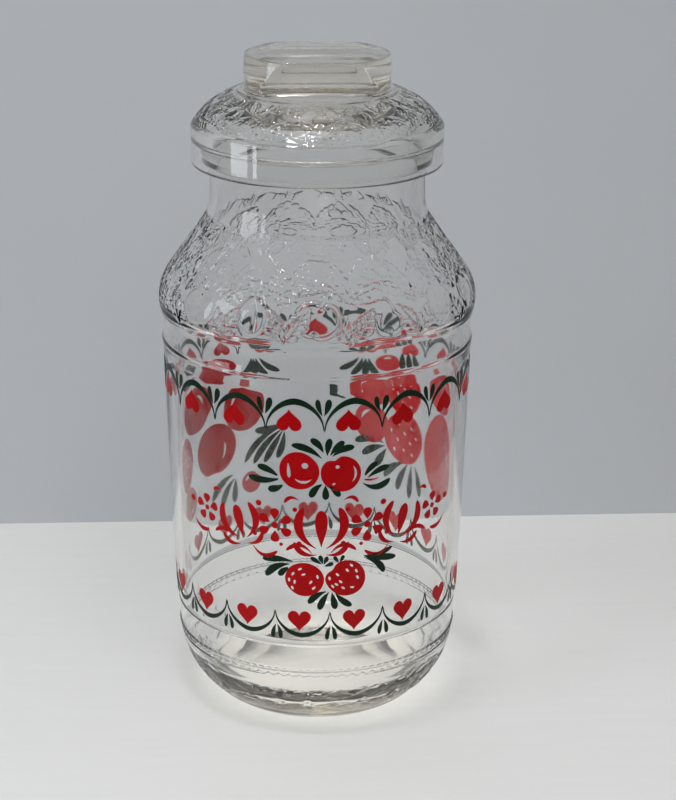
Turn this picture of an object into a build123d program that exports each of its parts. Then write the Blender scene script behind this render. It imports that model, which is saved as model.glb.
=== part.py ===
from build123d import *

import os
from math import asin, atan2, cos, radians, sin, sqrt

# Preserving jar of pressed clear glass with a loose cap lid, in millimetres.
# +Z is up and the origin is the centre of the ring that the jar stands on.
# The jar and the lid are bodies of revolution, and the lid's knob is cut away for the fingers.

# Jar: heights of the outer skin, each measured up from the one before.
heel_height = 32.0
heel_band_height = 12.4
foot_height = 2.5
body_height = 114.3
ring_rise = 5.4
cove_height = 12.3
roll_height = 5.9
shoulder_height = 45.1
neck_height = 14.9
finish_height = 8.2

# Jar: radii of the outer skin, with the small steps by which each band stands off the next.
body_foot_radius = 63.5
bearing_inset = 20.0
heel_top_step = 0.5
heel_step = 0.8
body_flare = 3.8
ring_step = 0.8
cove_step = 1.1
roll_step = 1.0
neck_radius = 46.3
finish_step = 3.3

# Jar: curves, beads and thickness of the glass.
heel_bulge = 4.6
body_bulge = 0.5
shoulder_bend = 20.6
neck_bend = 20.6
bead_size = 0.7
groove_size = 0.6
lower_bead_size = 0.5
ring_round = 1.2
roll_edge_round = 0.8
bearing_width = 4.0
bearing_round = 1.6
punt_rise = 4.5
wall = 3.7
floor_thickness = 6.0
inner_heel_round = 20.0
finish_round = 1.8
finish_root_round = 1.5
rim_round = 1.3

# Lid: a domed cap whose skirt drops outside the jar's finish.
seat_gap = 0.3
seat_width = 6.5
skirt_gap = 1.1
skirt_thickness = 3.35
skirt_drop = 10.0
skirt_round = 1.5
lid_shoulder_height = 6.5
lid_shoulder_round = 1.2
dome_height = 15.3
dome_bulge = 3.0
dome_thickness = 5.0
ceiling_corner_drop = 8.2
ceiling_draft = 0.8
ceiling_round = 5.0
seat_round = 0.8

# Knob: a thick disc on a foot, with flat faces and a finger scoop at the front and at the back.
knob_radius = 31.5
knob_draft = 0.5
foot_step = 0.4
disc_thickness = 8.9
knob_foot_height = 6.0
knob_edge = 0.8
knob_fillet = 1.2
grip_top_depth = 3.1
grip_low_depth = 8.9
scoop_depth = 12.5
scoop_slope = 0.8
scoop_round = 2.0

# One overrun serves every cut that has to pass through a surface.
overrun = 4.0

# How far a bead stands out as a share of its half height, how far up the heel's curve the
# lower bead lies, and where the cove is deepest.
bead_proud_share = 0.75
lower_bead_share = 0.82
cove_deepest_share = 0.6

# Levels of the jar.
band_level = heel_height + heel_band_height
foot_level = band_level + foot_height
body_level = foot_level + body_height
ring_level = body_level + ring_rise
roll_edge_level = ring_level + cove_height
roll_level = roll_edge_level + roll_height
neck_level = roll_level + shoulder_height
finish_level = neck_level + neck_height
rim_level = finish_level + finish_height
floor_level = punt_rise + floor_thickness

# Radii of the jar's bands.
bearing_radius = body_foot_radius - bearing_inset
heel_top_radius = body_foot_radius - heel_top_step
heel_radius = heel_top_radius - heel_step
body_top_radius = body_foot_radius + body_flare
ring_radius = body_top_radius + ring_step
cove_radius = ring_radius - cove_step
shoulder_radius = ring_radius + roll_step
finish_radius = neck_radius + finish_step

# The roll's lower edge lies on the circle of the shoulder's bend.
roll_edge_radius = shoulder_radius - shoulder_bend + sqrt(shoulder_bend**2 - roll_height**2)

# Radii and levels of the lid, which follow the jar's finish.
mouth_radius = neck_radius - wall
seat_level = rim_level + seat_gap
skirt_inner_radius = finish_radius + skirt_gap
skirt_radius = skirt_inner_radius + skirt_thickness
skirt_level = seat_level - skirt_drop
seat_inner_radius = skirt_inner_radius - seat_width
dome_level = seat_level + lid_shoulder_height
dome_top_level = dome_level + dome_height
disc_level = dome_top_level + knob_foot_height
lid_top_level = disc_level + disc_thickness
foot_radius = knob_radius - foot_step
knob_top_radius = knob_radius - knob_draft
ceiling_level = dome_top_level - dome_thickness
ceiling_corner_level = ceiling_level - ceiling_corner_drop


def bulged(start, end, bulge):
    """Arc from start to end whose middle stands off the chord by bulge, to the right of travel."""
    across, up = end[0] - start[0], end[1] - start[1]
    chord = sqrt(across * across + up * up)
    middle_across = (start[0] + end[0]) / 2 + bulge * up / chord
    middle_up = (start[1] + end[1]) / 2 - bulge * across / chord
    return ThreePointArc(start, (middle_across, middle_up), end)


def turned(centre, radius, start_angle, end_angle):
    """Arc about a centre between two angles, in radians from the outward direction."""
    angles = (start_angle, (start_angle + end_angle) / 2, end_angle)
    return ThreePointArc(*[(centre[0] + radius * cos(a), centre[1] + radius * sin(a)) for a in angles])


def cap(radius, edge_level, apex_level):
    """Arc of a sphere that is centred on the upright axis, from the edge of the cap in to its apex."""
    rise = apex_level - edge_level
    sphere = (radius * radius + rise * rise) / (2 * rise)
    reach = atan2(radius, sphere - rise)
    return turned((0, apex_level - sphere), sphere, radians(90) - reach, radians(90))


def bead(radius, level, size):
    """Rounded bead on a skin of the given radius, or a groove where size is negative."""
    proud = size * bead_proud_share
    return ThreePointArc((radius, level - abs(size)), (radius + proud, level), (radius, level + abs(size)))


def outline(edges):
    """Flat section bounded by the edges, with a straight edge across each gap between two of them."""
    chain = []
    for edge, following in zip(edges, edges[1:] + edges[:1]):
        chain.append(edge)
        if (edge @ 1 - following @ 0).length > wall / 1000:
            chain.append(Line(edge @ 1, following @ 0))
    return make_face(chain)


def rounded(section, corners):
    """The section with the corner nearest each listed point rounded to the listed radius."""
    for point, radius in corners:
        corner = section.vertices().sort_by_distance(Vector(*point))[0]
        section = fillet(corner, radius)
    return section


def turned_solid(section):
    """Solid of revolution about the upright axis of a section drawn as radius and height."""
    return revolve(Plane.XZ * section, axis=Axis.Z)


def shoulder_slope():
    """Angle from vertical of the cone that is tangent to the shoulder's bend and to the neck's bend."""
    across = (neck_radius + neck_bend) - (shoulder_radius - shoulder_bend)
    distance = sqrt(across * across + shoulder_height * shoulder_height)
    return asin((shoulder_bend + neck_bend) / distance) - atan2(across, shoulder_height)


def shoulder_bends(depth, roll_start):
    """The shoulder's roll and the neck's root, as arcs that lie a depth inside the outer skin."""
    slope = shoulder_slope()
    roll_centre = (shoulder_radius - shoulder_bend, roll_level)
    root_centre = (neck_radius + neck_bend, neck_level)
    roll = turned(roll_centre, shoulder_bend - depth, roll_start, slope)
    root = turned(root_centre, neck_bend + depth, radians(180) + slope, radians(180))
    return roll, root


def heel_curve():
    """Arc of the outer skin from the ring that the jar stands on up to the heel's bead."""
    return bulged((bearing_radius, 0), (heel_radius, heel_height - bead_size), heel_bulge)


def lower_bead():
    """Section of the thin bead that runs round the heel below the main one."""
    return Pos(heel_curve() @ lower_bead_share) * Circle(lower_bead_size)


def jar_outside():
    """Section of everything inside the jar's outer skin, from the base up to the rim."""
    ring_edge = (ring_radius, ring_level)
    cove_middle = (cove_radius, ring_level + cove_height * cove_deepest_share)
    roll, root = shoulder_bends(0, -asin(roll_height / shoulder_bend))
    return outline(
        [
            heel_curve(),
            bead(heel_radius, heel_height, bead_size),
            bead(heel_top_radius, band_level, -groove_size),
            bulged((body_foot_radius, foot_level), (body_top_radius, body_level), body_bulge),
            ThreePointArc(ring_edge, cove_middle, roll @ 0),
            roll,
            root,
            Line((neck_radius, finish_level), (finish_radius, finish_level)),
            Line((finish_radius, rim_level), (0, rim_level)),
            Line((0, 0), (bearing_radius, 0)),
        ]
    )


def jar_cavity():
    """Section of the space inside the jar, from its floor up through the mouth."""
    wall_foot = (heel_top_radius - wall, floor_level + inner_heel_round)
    heel_centre = (wall_foot[0] - inner_heel_round, wall_foot[1])
    roll, root = shoulder_bends(wall, 0)
    mouth_top = rim_level + overrun
    return outline(
        [
            turned(heel_centre, inner_heel_round, radians(-90), 0),
            roll,
            root,
            Line((mouth_radius, mouth_top), (0, mouth_top)),
            Line((0, mouth_top), (0, floor_level)),
        ]
    )


def jar_punt():
    """Section of the hollow under the base, inside the ring that the jar stands on."""
    edge = bearing_radius - bearing_width
    return outline([cap(edge, 0, punt_rise), Line((0, 0), (edge, 0))])


def make_jar():
    """The jar: an open vessel with a heel, a tapered body, a rolled shoulder and a beaded finish."""
    section = rounded(
        jar_outside() + lower_bead() - jar_cavity() - jar_punt(),
        [
            ((bearing_radius, 0), bearing_round),
            ((bearing_radius - bearing_width, 0), bearing_round),
            ((ring_radius, ring_level), ring_round),
            ((roll_edge_radius, roll_edge_level), roll_edge_round),
            ((neck_radius, finish_level), finish_root_round),
            ((finish_radius, finish_level), finish_round),
            ((finish_radius, rim_level), finish_round),
            ((mouth_radius, rim_level), rim_round),
        ],
    )
    return turned_solid(section)


def lid_outside():
    """Section of everything inside the lid's outer skin, from the skirt up to the knob's top."""
    return outline(
        [
            Line((0, skirt_level), (skirt_radius, skirt_level)),
            bulged((skirt_radius, dome_level), (foot_radius, dome_top_level), dome_bulge),
            Line((foot_radius, disc_level), (knob_radius, disc_level)),
            Line((knob_top_radius, lid_top_level), (0, lid_top_level)),
        ]
    )


def lid_hollow():
    """Section of the space under the lid: inside the skirt, past the seat and up to the ceiling."""
    skirt_foot = skirt_level - overrun
    return outline(
        [
            Line((0, skirt_foot), (skirt_inner_radius, skirt_foot)),
            Line((skirt_inner_radius, seat_level), (seat_inner_radius, seat_level)),
            cap(seat_inner_radius - ceiling_draft, ceiling_corner_level, ceiling_level),
        ]
    )


def finger_scoop():
    """Cutter for the front of the knob: it leans in under the disc and undercuts it to the foot."""
    disc_edge = (grip_low_depth - knob_radius, disc_level)
    back = scoop_depth - knob_radius
    outside = -(knob_radius + overrun)
    top_edge = (grip_top_depth - knob_top_radius, lid_top_level)
    lean = (top_edge[0] - disc_edge[0]) / disc_thickness
    section = make_face(
        Polyline(
            (outside, dome_top_level),
            (back, dome_top_level),
            (back, disc_level - scoop_slope),
            disc_edge,
            (top_edge[0] + lean * overrun, lid_top_level + overrun),
            (outside, lid_top_level + overrun),
            close=True,
        )
    )
    section = rounded(
        section,
        [((back, dome_top_level), scoop_round), ((back, disc_level - scoop_slope), scoop_round)],
    )
    return extrude(Plane.YZ * section, amount=knob_radius + overrun, both=True)


def make_lid():
    """The lid: a domed cap with a skirt, a seat that rests on the rim, and the knob."""
    section = rounded(
        lid_outside() - lid_hollow(),
        [
            ((skirt_radius, skirt_level), skirt_round),
            ((skirt_inner_radius, skirt_level), skirt_round),
            ((skirt_radius, dome_level), lid_shoulder_round),
            ((foot_radius, dome_top_level), knob_fillet),
            ((seat_inner_radius, seat_level), seat_round),
            ((seat_inner_radius - ceiling_draft, ceiling_corner_level), ceiling_round),
        ],
    )
    scoop = finger_scoop()
    lid = turned_solid(section) - scoop - mirror(scoop, about=Plane.XZ)
    top_edges = lid.faces().sort_by(Axis.Z)[-1].edges()
    return fillet(top_edges, knob_edge)


os.makedirs("parts", exist_ok=True)
export_step(make_jar(), "parts/jar.step")
export_step(make_lid(), "parts/lid.step")
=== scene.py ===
import logging
import math
from dataclasses import dataclass, field
from enum import Enum
from typing import Optional, Sequence

import bpy
import numpy as np
from mathutils import Matrix, Vector
from mathutils.geometry import delaunay_2d_cdt


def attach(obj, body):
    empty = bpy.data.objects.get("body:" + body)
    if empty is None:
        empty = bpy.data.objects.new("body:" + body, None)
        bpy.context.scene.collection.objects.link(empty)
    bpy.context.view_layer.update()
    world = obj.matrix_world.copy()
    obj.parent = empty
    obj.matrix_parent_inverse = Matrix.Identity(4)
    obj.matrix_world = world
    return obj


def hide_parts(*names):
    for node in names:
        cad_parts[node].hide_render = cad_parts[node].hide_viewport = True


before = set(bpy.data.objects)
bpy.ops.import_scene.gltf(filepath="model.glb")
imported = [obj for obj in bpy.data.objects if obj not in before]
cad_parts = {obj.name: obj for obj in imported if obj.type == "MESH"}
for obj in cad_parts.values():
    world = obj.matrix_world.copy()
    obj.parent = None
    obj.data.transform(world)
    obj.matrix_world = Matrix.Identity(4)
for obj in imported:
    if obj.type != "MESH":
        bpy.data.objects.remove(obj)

MM = 0.001
TURN = 2.0 * math.pi
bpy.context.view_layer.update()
LOG = logging.getLogger("preserving_jar")

Array = np.ndarray
Point = tuple[float, float]
Triple = tuple[float, float, float]
Face = tuple[int, ...]
Piece = bpy.types.Object
Socket = bpy.types.NodeSocket
Tree = bpy.types.NodeTree


def unit(vector: Array) -> Array:
    """Returns the vector scaled to length one."""
    return vector / np.linalg.norm(vector)


def smooth_step(value: Array) -> Array:
    """Eases a value from 0 to 1 with level ends.

    Args:
        value: Numbers that are clipped to the range from 0 to 1.

    Returns:
        The eased numbers.
    """
    clipped = np.clip(value, 0.0, 1.0)
    return clipped * clipped * (3.0 - 2.0 * clipped)


def full_turn(steps: int) -> Array:
    """Returns the angles of equal steps round a circle."""
    return np.arange(steps) * TURN / steps


def straight(start: Point, end: Point, pieces: int = 40) -> Array:
    """Samples a straight stretch of a section.

    Args:
        start: Radius and height where it begins.
        end: Radius and height where it ends.
        pieces: How many steps it is cut into.

    Returns:
        Rows of radius and height.
    """
    return np.linspace(start, end, pieces + 1)


def arc(centre: Point, radius: float, start: float, end: float, pieces: int = 60) -> Array:
    """Samples an arc of a section.

    Args:
        centre: Radius and height of the arc's centre.
        radius: Radius of the arc itself.
        start: First angle in radians from the outward direction.
        end: Last angle in radians.
        pieces: How many steps it is cut into.

    Returns:
        Rows of radius and height.
    """
    angles = np.linspace(start, end, pieces + 1)
    return np.column_stack([centre[0] + radius * np.cos(angles), centre[1] + radius * np.sin(angles)])


def bulged(start: Point, end: Point, bulge: float, pieces: int = 80) -> Array:
    """Samples an arc whose middle stands off its chord, to the right of travel.

    Args:
        start: Radius and height where it begins.
        end: Radius and height where it ends.
        bulge: How far the middle stands off; negative bends it to the left.
        pieces: How many steps it is cut into.

    Returns:
        Rows of radius and height.
    """
    chord = np.subtract(end, start)
    length = float(np.linalg.norm(chord))
    along = chord / length
    right = np.array([along[1], -along[0]]) * math.copysign(1.0, bulge)
    rise = abs(bulge)
    radius = (length * length / 4.0 + rise * rise) / (2.0 * rise)
    reach = math.asin(length / 2.0 / radius)
    angles = np.linspace(-reach, reach, pieces + 1)
    middle = np.add(start, end) / 2.0
    return (
        middle
        + np.outer(radius * np.sin(angles), along)
        + np.outer(radius * (np.cos(angles) - 1.0) + rise, right)
    )


class SectionPath:
    """A section through the glass, walked with the glass on the left hand."""

    def __init__(self, first: Array) -> None:
        """Starts the walk.

        Args:
            first: Rows of radius and height of the first stretch.
        """
        self.points = first

    @staticmethod
    def lengths(points: Array) -> Array:
        """Returns how far along the points each of them lies."""
        return np.concatenate([[0.0], np.cumsum(np.linalg.norm(np.diff(points, axis=0), axis=1))])

    @classmethod
    def shortened(cls, points: Array, cut: float) -> Array:
        """Cuts a length off the far end of a walk.

        Args:
            points: Rows of radius and height.
            cut: The length that goes.

        Returns:
            The rows that stay, with a new last one at the cut.
        """
        along = cls.lengths(points)
        stop = along[-1] - cut
        end = [np.interp(stop, along, points[:, 0]), np.interp(stop, along, points[:, 1])]
        return np.vstack([points[along < stop - 1e-7], end])

    def then(self, part: Array, corner: float = 0.0) -> "SectionPath":
        """Adds a stretch that begins where the walk ends.

        Args:
            part: Rows of radius and height of the new stretch.
            corner: Radius that rounds the corner between the two, or 0 for a sharp one.

        Returns:
            The path itself.
        """
        if corner <= 0.0:
            self.points = np.vstack([self.points, part[1:]])
            return self
        inward = unit(self.points[-1] - self.points[-2])
        outward = unit(part[1] - part[0])
        turn = math.acos(float(np.clip(inward @ outward, -1.0, 1.0)))
        reach = corner * math.tan(turn / 2.0)
        head = self.shortened(self.points, reach)
        tail = self.shortened(part[::-1], reach)[::-1]
        share = np.linspace(0.0, 1.0, 13)[1:-1, None]
        apex = part[0]
        blend = (1 - share) ** 2 * head[-1] + 2 * share * (1 - share) * apex + share**2 * tail[0]
        self.points = np.vstack([head, blend, tail])
        return self

    def line_to(self, end: Point, corner: float = 0.0, pieces: int = 40) -> "SectionPath":
        """Adds a straight stretch from the walk's end.

        Args:
            end: Radius and height where it ends.
            corner: Radius that rounds the corner before it, or 0 for a sharp one.
            pieces: How many steps it is cut into.

        Returns:
            The path itself.
        """
        return self.then(straight(tuple(self.points[-1]), end, pieces), corner)

    def between(self, start: Point, end: Point) -> Array:
        """Returns the rows from the one nearest to start up to the one nearest to end.

        Args:
            start: Radius and height near the first row.
            end: Radius and height near the last row.

        Returns:
            The rows.
        """
        first = int(np.argmin(np.linalg.norm(self.points - start, axis=1)))
        last = int(np.argmin(np.linalg.norm(self.points - end, axis=1)))
        return self.points[first : last + 1]


def spaced(points: Array, spacing: float, turn: float = math.radians(9.0)) -> Array:
    """Spreads rows over a walk: evenly where it is straight and closer where it bends.

    Args:
        points: Rows of radius and height.
        spacing: Longest step between two rows.
        turn: Largest bend, in radians, between two steps.

    Returns:
        The new rows.
    """
    steps = np.diff(points, axis=0)
    lengths = np.linalg.norm(steps, axis=1)
    headings = np.unwrap(np.arctan2(steps[:, 1], steps[:, 0]))
    bends = np.abs(np.diff(headings))
    share = np.concatenate([[0.0], bends / 2.0]) + np.concatenate([bends / 2.0, [0.0]])
    need = np.concatenate([[0.0], np.cumsum(lengths / spacing + share / turn)])
    places = np.linspace(0.0, need[-1], max(2, math.ceil(need[-1])) + 1)
    return np.column_stack([np.interp(places, need, points[:, 0]), np.interp(places, need, points[:, 1])])


# Pressed relief


def boss(x: Array, y: Array, wide: float, tall: float, rim: float = 0.24) -> Array:
    """Height of an oval boss with a steep edge and a nearly level top.

    Args:
        x: Places across.
        y: Places up.
        wide: Half width of the boss.
        tall: Half height of the boss.
        rim: Width of its steep edge; smaller is steeper.

    Returns:
        Heights from 0 to 1.
    """
    inside = 1.0 - (x / wide) ** 2 - (y / tall) ** 2
    return np.sqrt(np.clip(inside / rim, 0.0, 1.0)) * (0.8 + 0.2 * np.clip(inside, 0.0, 1.0))


def dent(x: Array, y: Array, at: Point, size: float) -> Array:
    """Returns a soft round dent, 1 at its centre."""
    return np.exp(-((x - at[0]) ** 2 + (y - at[1]) ** 2) / (size * size))


class Motif:
    """A pressed form in its own frame: about one unit from its centre to its edge."""

    reach = 1.4

    def height(self, x: Array, y: Array) -> Array:
        """Returns heights from 0 to 1 over the form, and 0 outside it."""
        raise NotImplementedError


class Apple(Motif):
    """A round apple with its dimple, its stalk and its calyx."""

    def height(self, x: Array, y: Array) -> Array:
        """Returns the heights of the apple.

        Args:
            x: Places across.
            y: Places up.

        Returns:
            Heights from 0 to 1.
        """
        angle = np.arctan2(y, x)
        swell = 1.0 - 0.13 * np.exp(-(((angle - math.pi / 2) / 0.42) ** 2))
        swell -= 0.08 * np.exp(-(((angle + math.pi / 2) / 0.35) ** 2))
        body = boss(x / swell, y / swell, 1.0, 0.92)
        body -= 0.6 * dent(x, y, (0.0, 0.62), 0.2) + 0.5 * dent(x, y, (0.0, -0.7), 0.12)
        stalk = 0.9 * boss(x - 0.10 * (y - 0.7), y - 0.98, 0.09, 0.32)
        return np.clip(np.maximum(body, stalk), 0.0, 1.0)


class Plum(Motif):
    """An oval plum with the crease down its side."""

    def height(self, x: Array, y: Array) -> Array:
        """Returns the heights of the plum.

        Args:
            x: Places across.
            y: Places up.

        Returns:
            Heights from 0 to 1.
        """
        crease = x - 0.28 * np.cos(y * 1.4) + 0.08
        body = boss(x, y, 0.74, 1.0) - 0.6 * np.exp(-((crease / 0.07) ** 2)) * (np.abs(y) < 0.8)
        return np.clip(body, 0.0, 1.0)


class Pear(Motif):
    """A pear: a round belly that runs up into a narrow neck with a stalk."""

    def height(self, x: Array, y: Array) -> Array:
        """Returns the heights of the pear.

        Args:
            x: Places across.
            y: Places up.

        Returns:
            Heights from 0 to 1.
        """
        belly = np.exp(-2.2 * ((x / 0.74) ** 2 + ((y + 0.32) / 0.66) ** 2))
        neck = 0.75 * np.exp(-2.2 * ((x / 0.36) ** 2 + ((y - 0.42) / 0.5) ** 2))
        body = np.sqrt(np.clip((belly + neck - 0.13) / 0.2, 0.0, 1.0)) * (0.85 + 0.15 * belly)
        body -= 0.5 * dent(x, y, (0.0, -0.8), 0.12)
        stalk = 0.9 * boss(x - 0.15 * (y - 0.9), y - 1.05, 0.08, 0.26)
        return np.clip(np.maximum(body, stalk), 0.0, 1.0)


class Strawberry(Motif):
    """A pointed berry with rows of seed pits under a leafy cap."""

    def height(self, x: Array, y: Array) -> Array:
        """Returns the heights of the berry.

        Args:
            x: Places across.
            y: Places up.

        Returns:
            Heights from 0 to 1.
        """
        half = 0.8 * np.sqrt(np.clip(1.0 - ((y - 0.05) / 0.98) ** 2, 0.0, None)) * (1.0 + 0.22 * y)
        body = boss(x, 0.0 * y, np.maximum(half, 1e-3), 1.0) * (np.abs(y) < 1.02)
        pits = np.cos(x * 9.5) * np.cos(y * 8.0)
        body -= 0.4 * np.clip(np.abs(pits) * 2.0 - 1.1, 0.0, None) * (body > 0.4)
        angle = np.arctan2(y - 0.78, x)
        cap_reach = 0.34 + 0.16 * np.abs(np.cos(2.5 * angle + 0.6))
        cap = boss(x / cap_reach, (y - 0.78) / cap_reach, 1.0, 1.0)
        return np.clip(np.maximum(body, cap), 0.0, 1.0)


class CherryPair(Motif):
    """Two cherries that hang from one fork."""

    def height(self, x: Array, y: Array) -> Array:
        """Returns the heights of the two cherries and their stalks.

        Args:
            x: Places across.
            y: Places up.

        Returns:
            Heights from 0 to 1.
        """
        left = boss(x + 0.5, y + 0.45, 0.46, 0.44) - 0.5 * dent(x, y, (-0.5, -0.12), 0.14)
        right = boss(x - 0.46, y + 0.3, 0.44, 0.42) - 0.5 * dent(x, y, (0.46, 0.02), 0.14)
        lift = np.clip((y + 0.1) / 0.95, 0.0, 1.0)
        apart = np.minimum(np.abs(x + 0.5 - 0.6 * lift**1.5), np.abs(x - 0.46 + 0.36 * lift**1.6))
        stalks = 0.8 * np.clip(1.0 - (apart / 0.09) ** 2, 0.0, None) ** 0.4 * (y > -0.1) * (y < 0.9)
        return np.clip(np.maximum(np.maximum(left, right), stalks), 0.0, 1.0)


@dataclass(frozen=True)
class Berries(Motif):
    """Small round berries that touch.

    Args:
        rows: For each row its height and how many berries it has.
        pitch: Distance from berry to berry.
        size: Radius of a berry.
    """

    rows: tuple[tuple[float, int], ...] = ((0.55, 4), (0.2, 5), (-0.15, 4), (-0.5, 3), (-0.82, 1))
    pitch: float = 0.39
    size: float = 0.22

    def height(self, x: Array, y: Array) -> Array:
        """Returns the heights of the bunch.

        Args:
            x: Places across.
            y: Places up.

        Returns:
            Heights from 0 to 1.
        """
        heights = np.zeros_like(x)
        for level, count in self.rows:
            for place in range(count):
                across = (place - (count - 1) / 2.0) * self.pitch
                heights = np.maximum(heights, boss(x - across, y - level, self.size, self.size))
        return heights


TRIO = Berries(((0.5, 1), (-0.36, 2)), 0.98, 0.47)


@dataclass(frozen=True)
class Leaf(Motif):
    """A pointed leaf with a midrib, side veins and a notched edge.

    Args:
        slim: Half width as a share of half the length.
        veins: How many side veins each half has.
    """

    slim: float = 0.46
    veins: float = 5.0

    def height(self, x: Array, y: Array) -> Array:
        """Returns the heights of the leaf.

        Args:
            x: Places across.
            y: Places up.

        Returns:
            Heights from 0 to 1.
        """
        across = np.abs(x)
        travel = (y - 0.75 * across) * self.veins * 0.5
        notch = 1.0 + 0.08 * np.cos(TURN * travel)
        half = self.slim * np.clip(1.0 - y * y, 0.0, None) ** 0.75 * (1.0 - 0.18 * y) * notch
        half = np.maximum(half, 1e-3)
        inside = np.clip(1.0 - (across / half) ** 2, 0.0, None)
        vein = np.abs(travel - np.round(travel))
        body = np.sqrt(np.clip(inside / 0.25, 0.0, 1.0)) * (0.42 + 0.2 * (across / half) ** 2)
        body += 0.5 * np.exp(-((vein / 0.13) ** 2)) * (inside > 0.03)
        rib = np.clip(1.0 - (x / 0.07) ** 2, 0.0, None) ** 0.4
        return np.clip(np.maximum(body, rib) * (np.abs(y) < 1.0), 0.0, 1.0)


class Blossom(Motif):
    """A flower with five round petals about a raised heart."""

    def height(self, x: Array, y: Array) -> Array:
        """Returns the heights of the flower.

        Args:
            x: Places across.
            y: Places up.

        Returns:
            Heights from 0 to 1.
        """
        distance = np.hypot(x, y)
        edge = 0.62 + 0.36 * np.abs(np.cos(2.5 * np.arctan2(y, x)))
        petals = np.clip(1.0 - (distance / edge) ** 2, 0.0, None) ** 0.28 * (0.4 + 0.5 * distance)
        return np.clip(np.maximum(petals, boss(x, y, 0.24, 0.24)), 0.0, 1.0)


@dataclass(frozen=True)
class Tendril(Motif):
    """A curled tendril or a bent stem, as a thin raised line.

    Args:
        sway: How far the line swings to each side.
        waves: How fast it swings.
        width: Half width of the line.
    """

    sway: float = 0.42
    waves: float = 3.2
    width: float = 0.1

    def height(self, x: Array, y: Array) -> Array:
        """Returns the heights of the line."""
        line = x - self.sway * np.sin(y * self.waves)
        return 0.8 * np.clip(1.0 - (line / self.width) ** 2, 0.0, None) ** 0.4 * (np.abs(y) < 1.0)


@dataclass(frozen=True)
class Placement:
    """Where one pressed form lies on a band of skin.

    Args:
        motif: The form.
        azimuth: Angle round the jar in radians, 0 at the front.
        along: Distance up the band from its lower edge.
        size: Half size of the form.
        turn: How far it is turned to the left, in radians.
        lift: Its height as a share of the relief's depth.
    """

    motif: Motif
    azimuth: float
    along: float
    size: float
    turn: float = 0.0
    lift: float = 1.0


def leaf_fan(root: Point, radius: float, size: float, turns: Sequence[float], slim: float) -> list[Placement]:
    """Returns leaves that spread from one root.

    Args:
        root: Azimuth and distance up the band where they meet.
        radius: Radius of the skin there.
        size: Half length of a leaf.
        turns: Lean of each leaf to the left, in radians.
        slim: Half width of a leaf as a share of half its length.

    Returns:
        The leaves, each over the one before.
    """
    return [
        Placement(Leaf(slim), root[0] - math.sin(turn) * size / radius, root[1] + math.cos(turn) * size,
                  size, turn)
        for turn in turns
    ]


@dataclass
class Relief:
    """Pressed forms whose tops lie at the skin, over a ground that is sunk below it.

    Args:
        depth: How deep the ground lies.
        fade: Length over which the ground comes up to the skin at both edges of the band.
        placements: The forms, each over those before it.
        ripple: Height of the soft unevenness of the ground.
        moat: Size of the cleared place round a form as a share of the form.
    """

    depth: float
    fade: float
    placements: list[Placement] = field(default_factory=list)
    ripple: float = 0.0
    moat: float = 1.1

    def fading(self, along: Array) -> Array:
        """Returns the share of the depth that each row has, from none at both edges of the band."""
        return smooth_step(along / self.fade) * smooth_step((along[-1] - along) / self.fade)

    def field_over(self, azimuths: Array, along: Array, radii: Array) -> Array:
        """Works out how far the skin is sunk.

        Args:
            azimuths: Angle of each column.
            along: Distance up the band of each row.
            radii: Radius of each row.

        Returns:
            One offset for each row and column, never above 0.
        """
        heights = np.zeros((len(along), len(azimuths)))
        for placed in self.placements:
            turned = (azimuths[None, :] - placed.azimuth + math.pi) % TURN - math.pi
            across = turned * radii[:, None]
            up = np.broadcast_to(along[:, None] - placed.along, across.shape)
            limit = placed.motif.reach * placed.size
            near = (np.abs(across) < limit) & (np.abs(up) < limit)
            if not near.any():
                continue
            cosine, sine = math.cos(placed.turn), math.sin(placed.turn)
            local_x = (across[near] * cosine + up[near] * sine) / placed.size
            local_y = (up[near] * cosine - across[near] * sine) / placed.size
            form = placed.motif.height(local_x, local_y)
            round_it = placed.motif.height(local_x / self.moat, local_y / self.moat) > 0.0
            heights[near] = np.where(round_it | (form > 0.0), form * placed.lift, heights[near])
        wave = np.sin(azimuths * 11.0)[None, :] * np.sin(along * 420.0)[:, None]
        ground = (1.0 - heights) * (self.depth + self.ripple * wave)
        return -ground * self.fading(along)[:, None]


@dataclass
class BeadRow(Relief):
    """A ridge that is broken into dashes, with tiny arcs hung under it.

    Args:
        dashes: How many dashes go round.
        dash_band: Lowest and highest distance of the dashes up the band.
        arcs: How many arcs go round.
        arc_band: Lowest and highest distance of the arcs up the band.
    """

    dashes: int = 110
    dash_band: Point = (0.0, 1.0)
    arcs: int = 84
    arc_band: Point = (0.0, 1.0)

    def field_over(self, azimuths: Array, along: Array, radii: Array) -> Array:
        """Works out how far the skin is sunk between the dashes and beside the arcs.

        Args:
            azimuths: Angle of each column.
            along: Distance up the band of each row.
            radii: Radius of each row.

        Returns:
            One offset for each row and column, never above 0.
        """
        low, high = self.dash_band
        in_dashes = smooth_step((along - low) / (0.4 * MM)) * smooth_step((high - along) / (0.4 * MM))
        gap = smooth_step((np.cos(azimuths * self.dashes) - 0.55) / 0.3)
        sunk = in_dashes[:, None] * gap[None, :] * self.depth
        foot, head = self.arc_band
        share = (azimuths * self.arcs / TURN) % 1.0 - 0.5
        drop = np.sqrt(np.clip(1.0 - (2.0 * share) ** 2, 0.0, None))
        line = head - drop * (head - foot) * 0.8
        ridge = np.exp(-(((along[:, None] - line[None, :]) / (0.45 * MM)) ** 2))
        rising, falling = (along - foot + 0.6 * MM) / (0.5 * MM), (head - along) / (0.3 * MM)
        in_arcs = smooth_step(rising) * smooth_step(falling)
        sunk += in_arcs[:, None] * (1.0 - ridge) * self.depth * 0.8
        return -sunk


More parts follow.
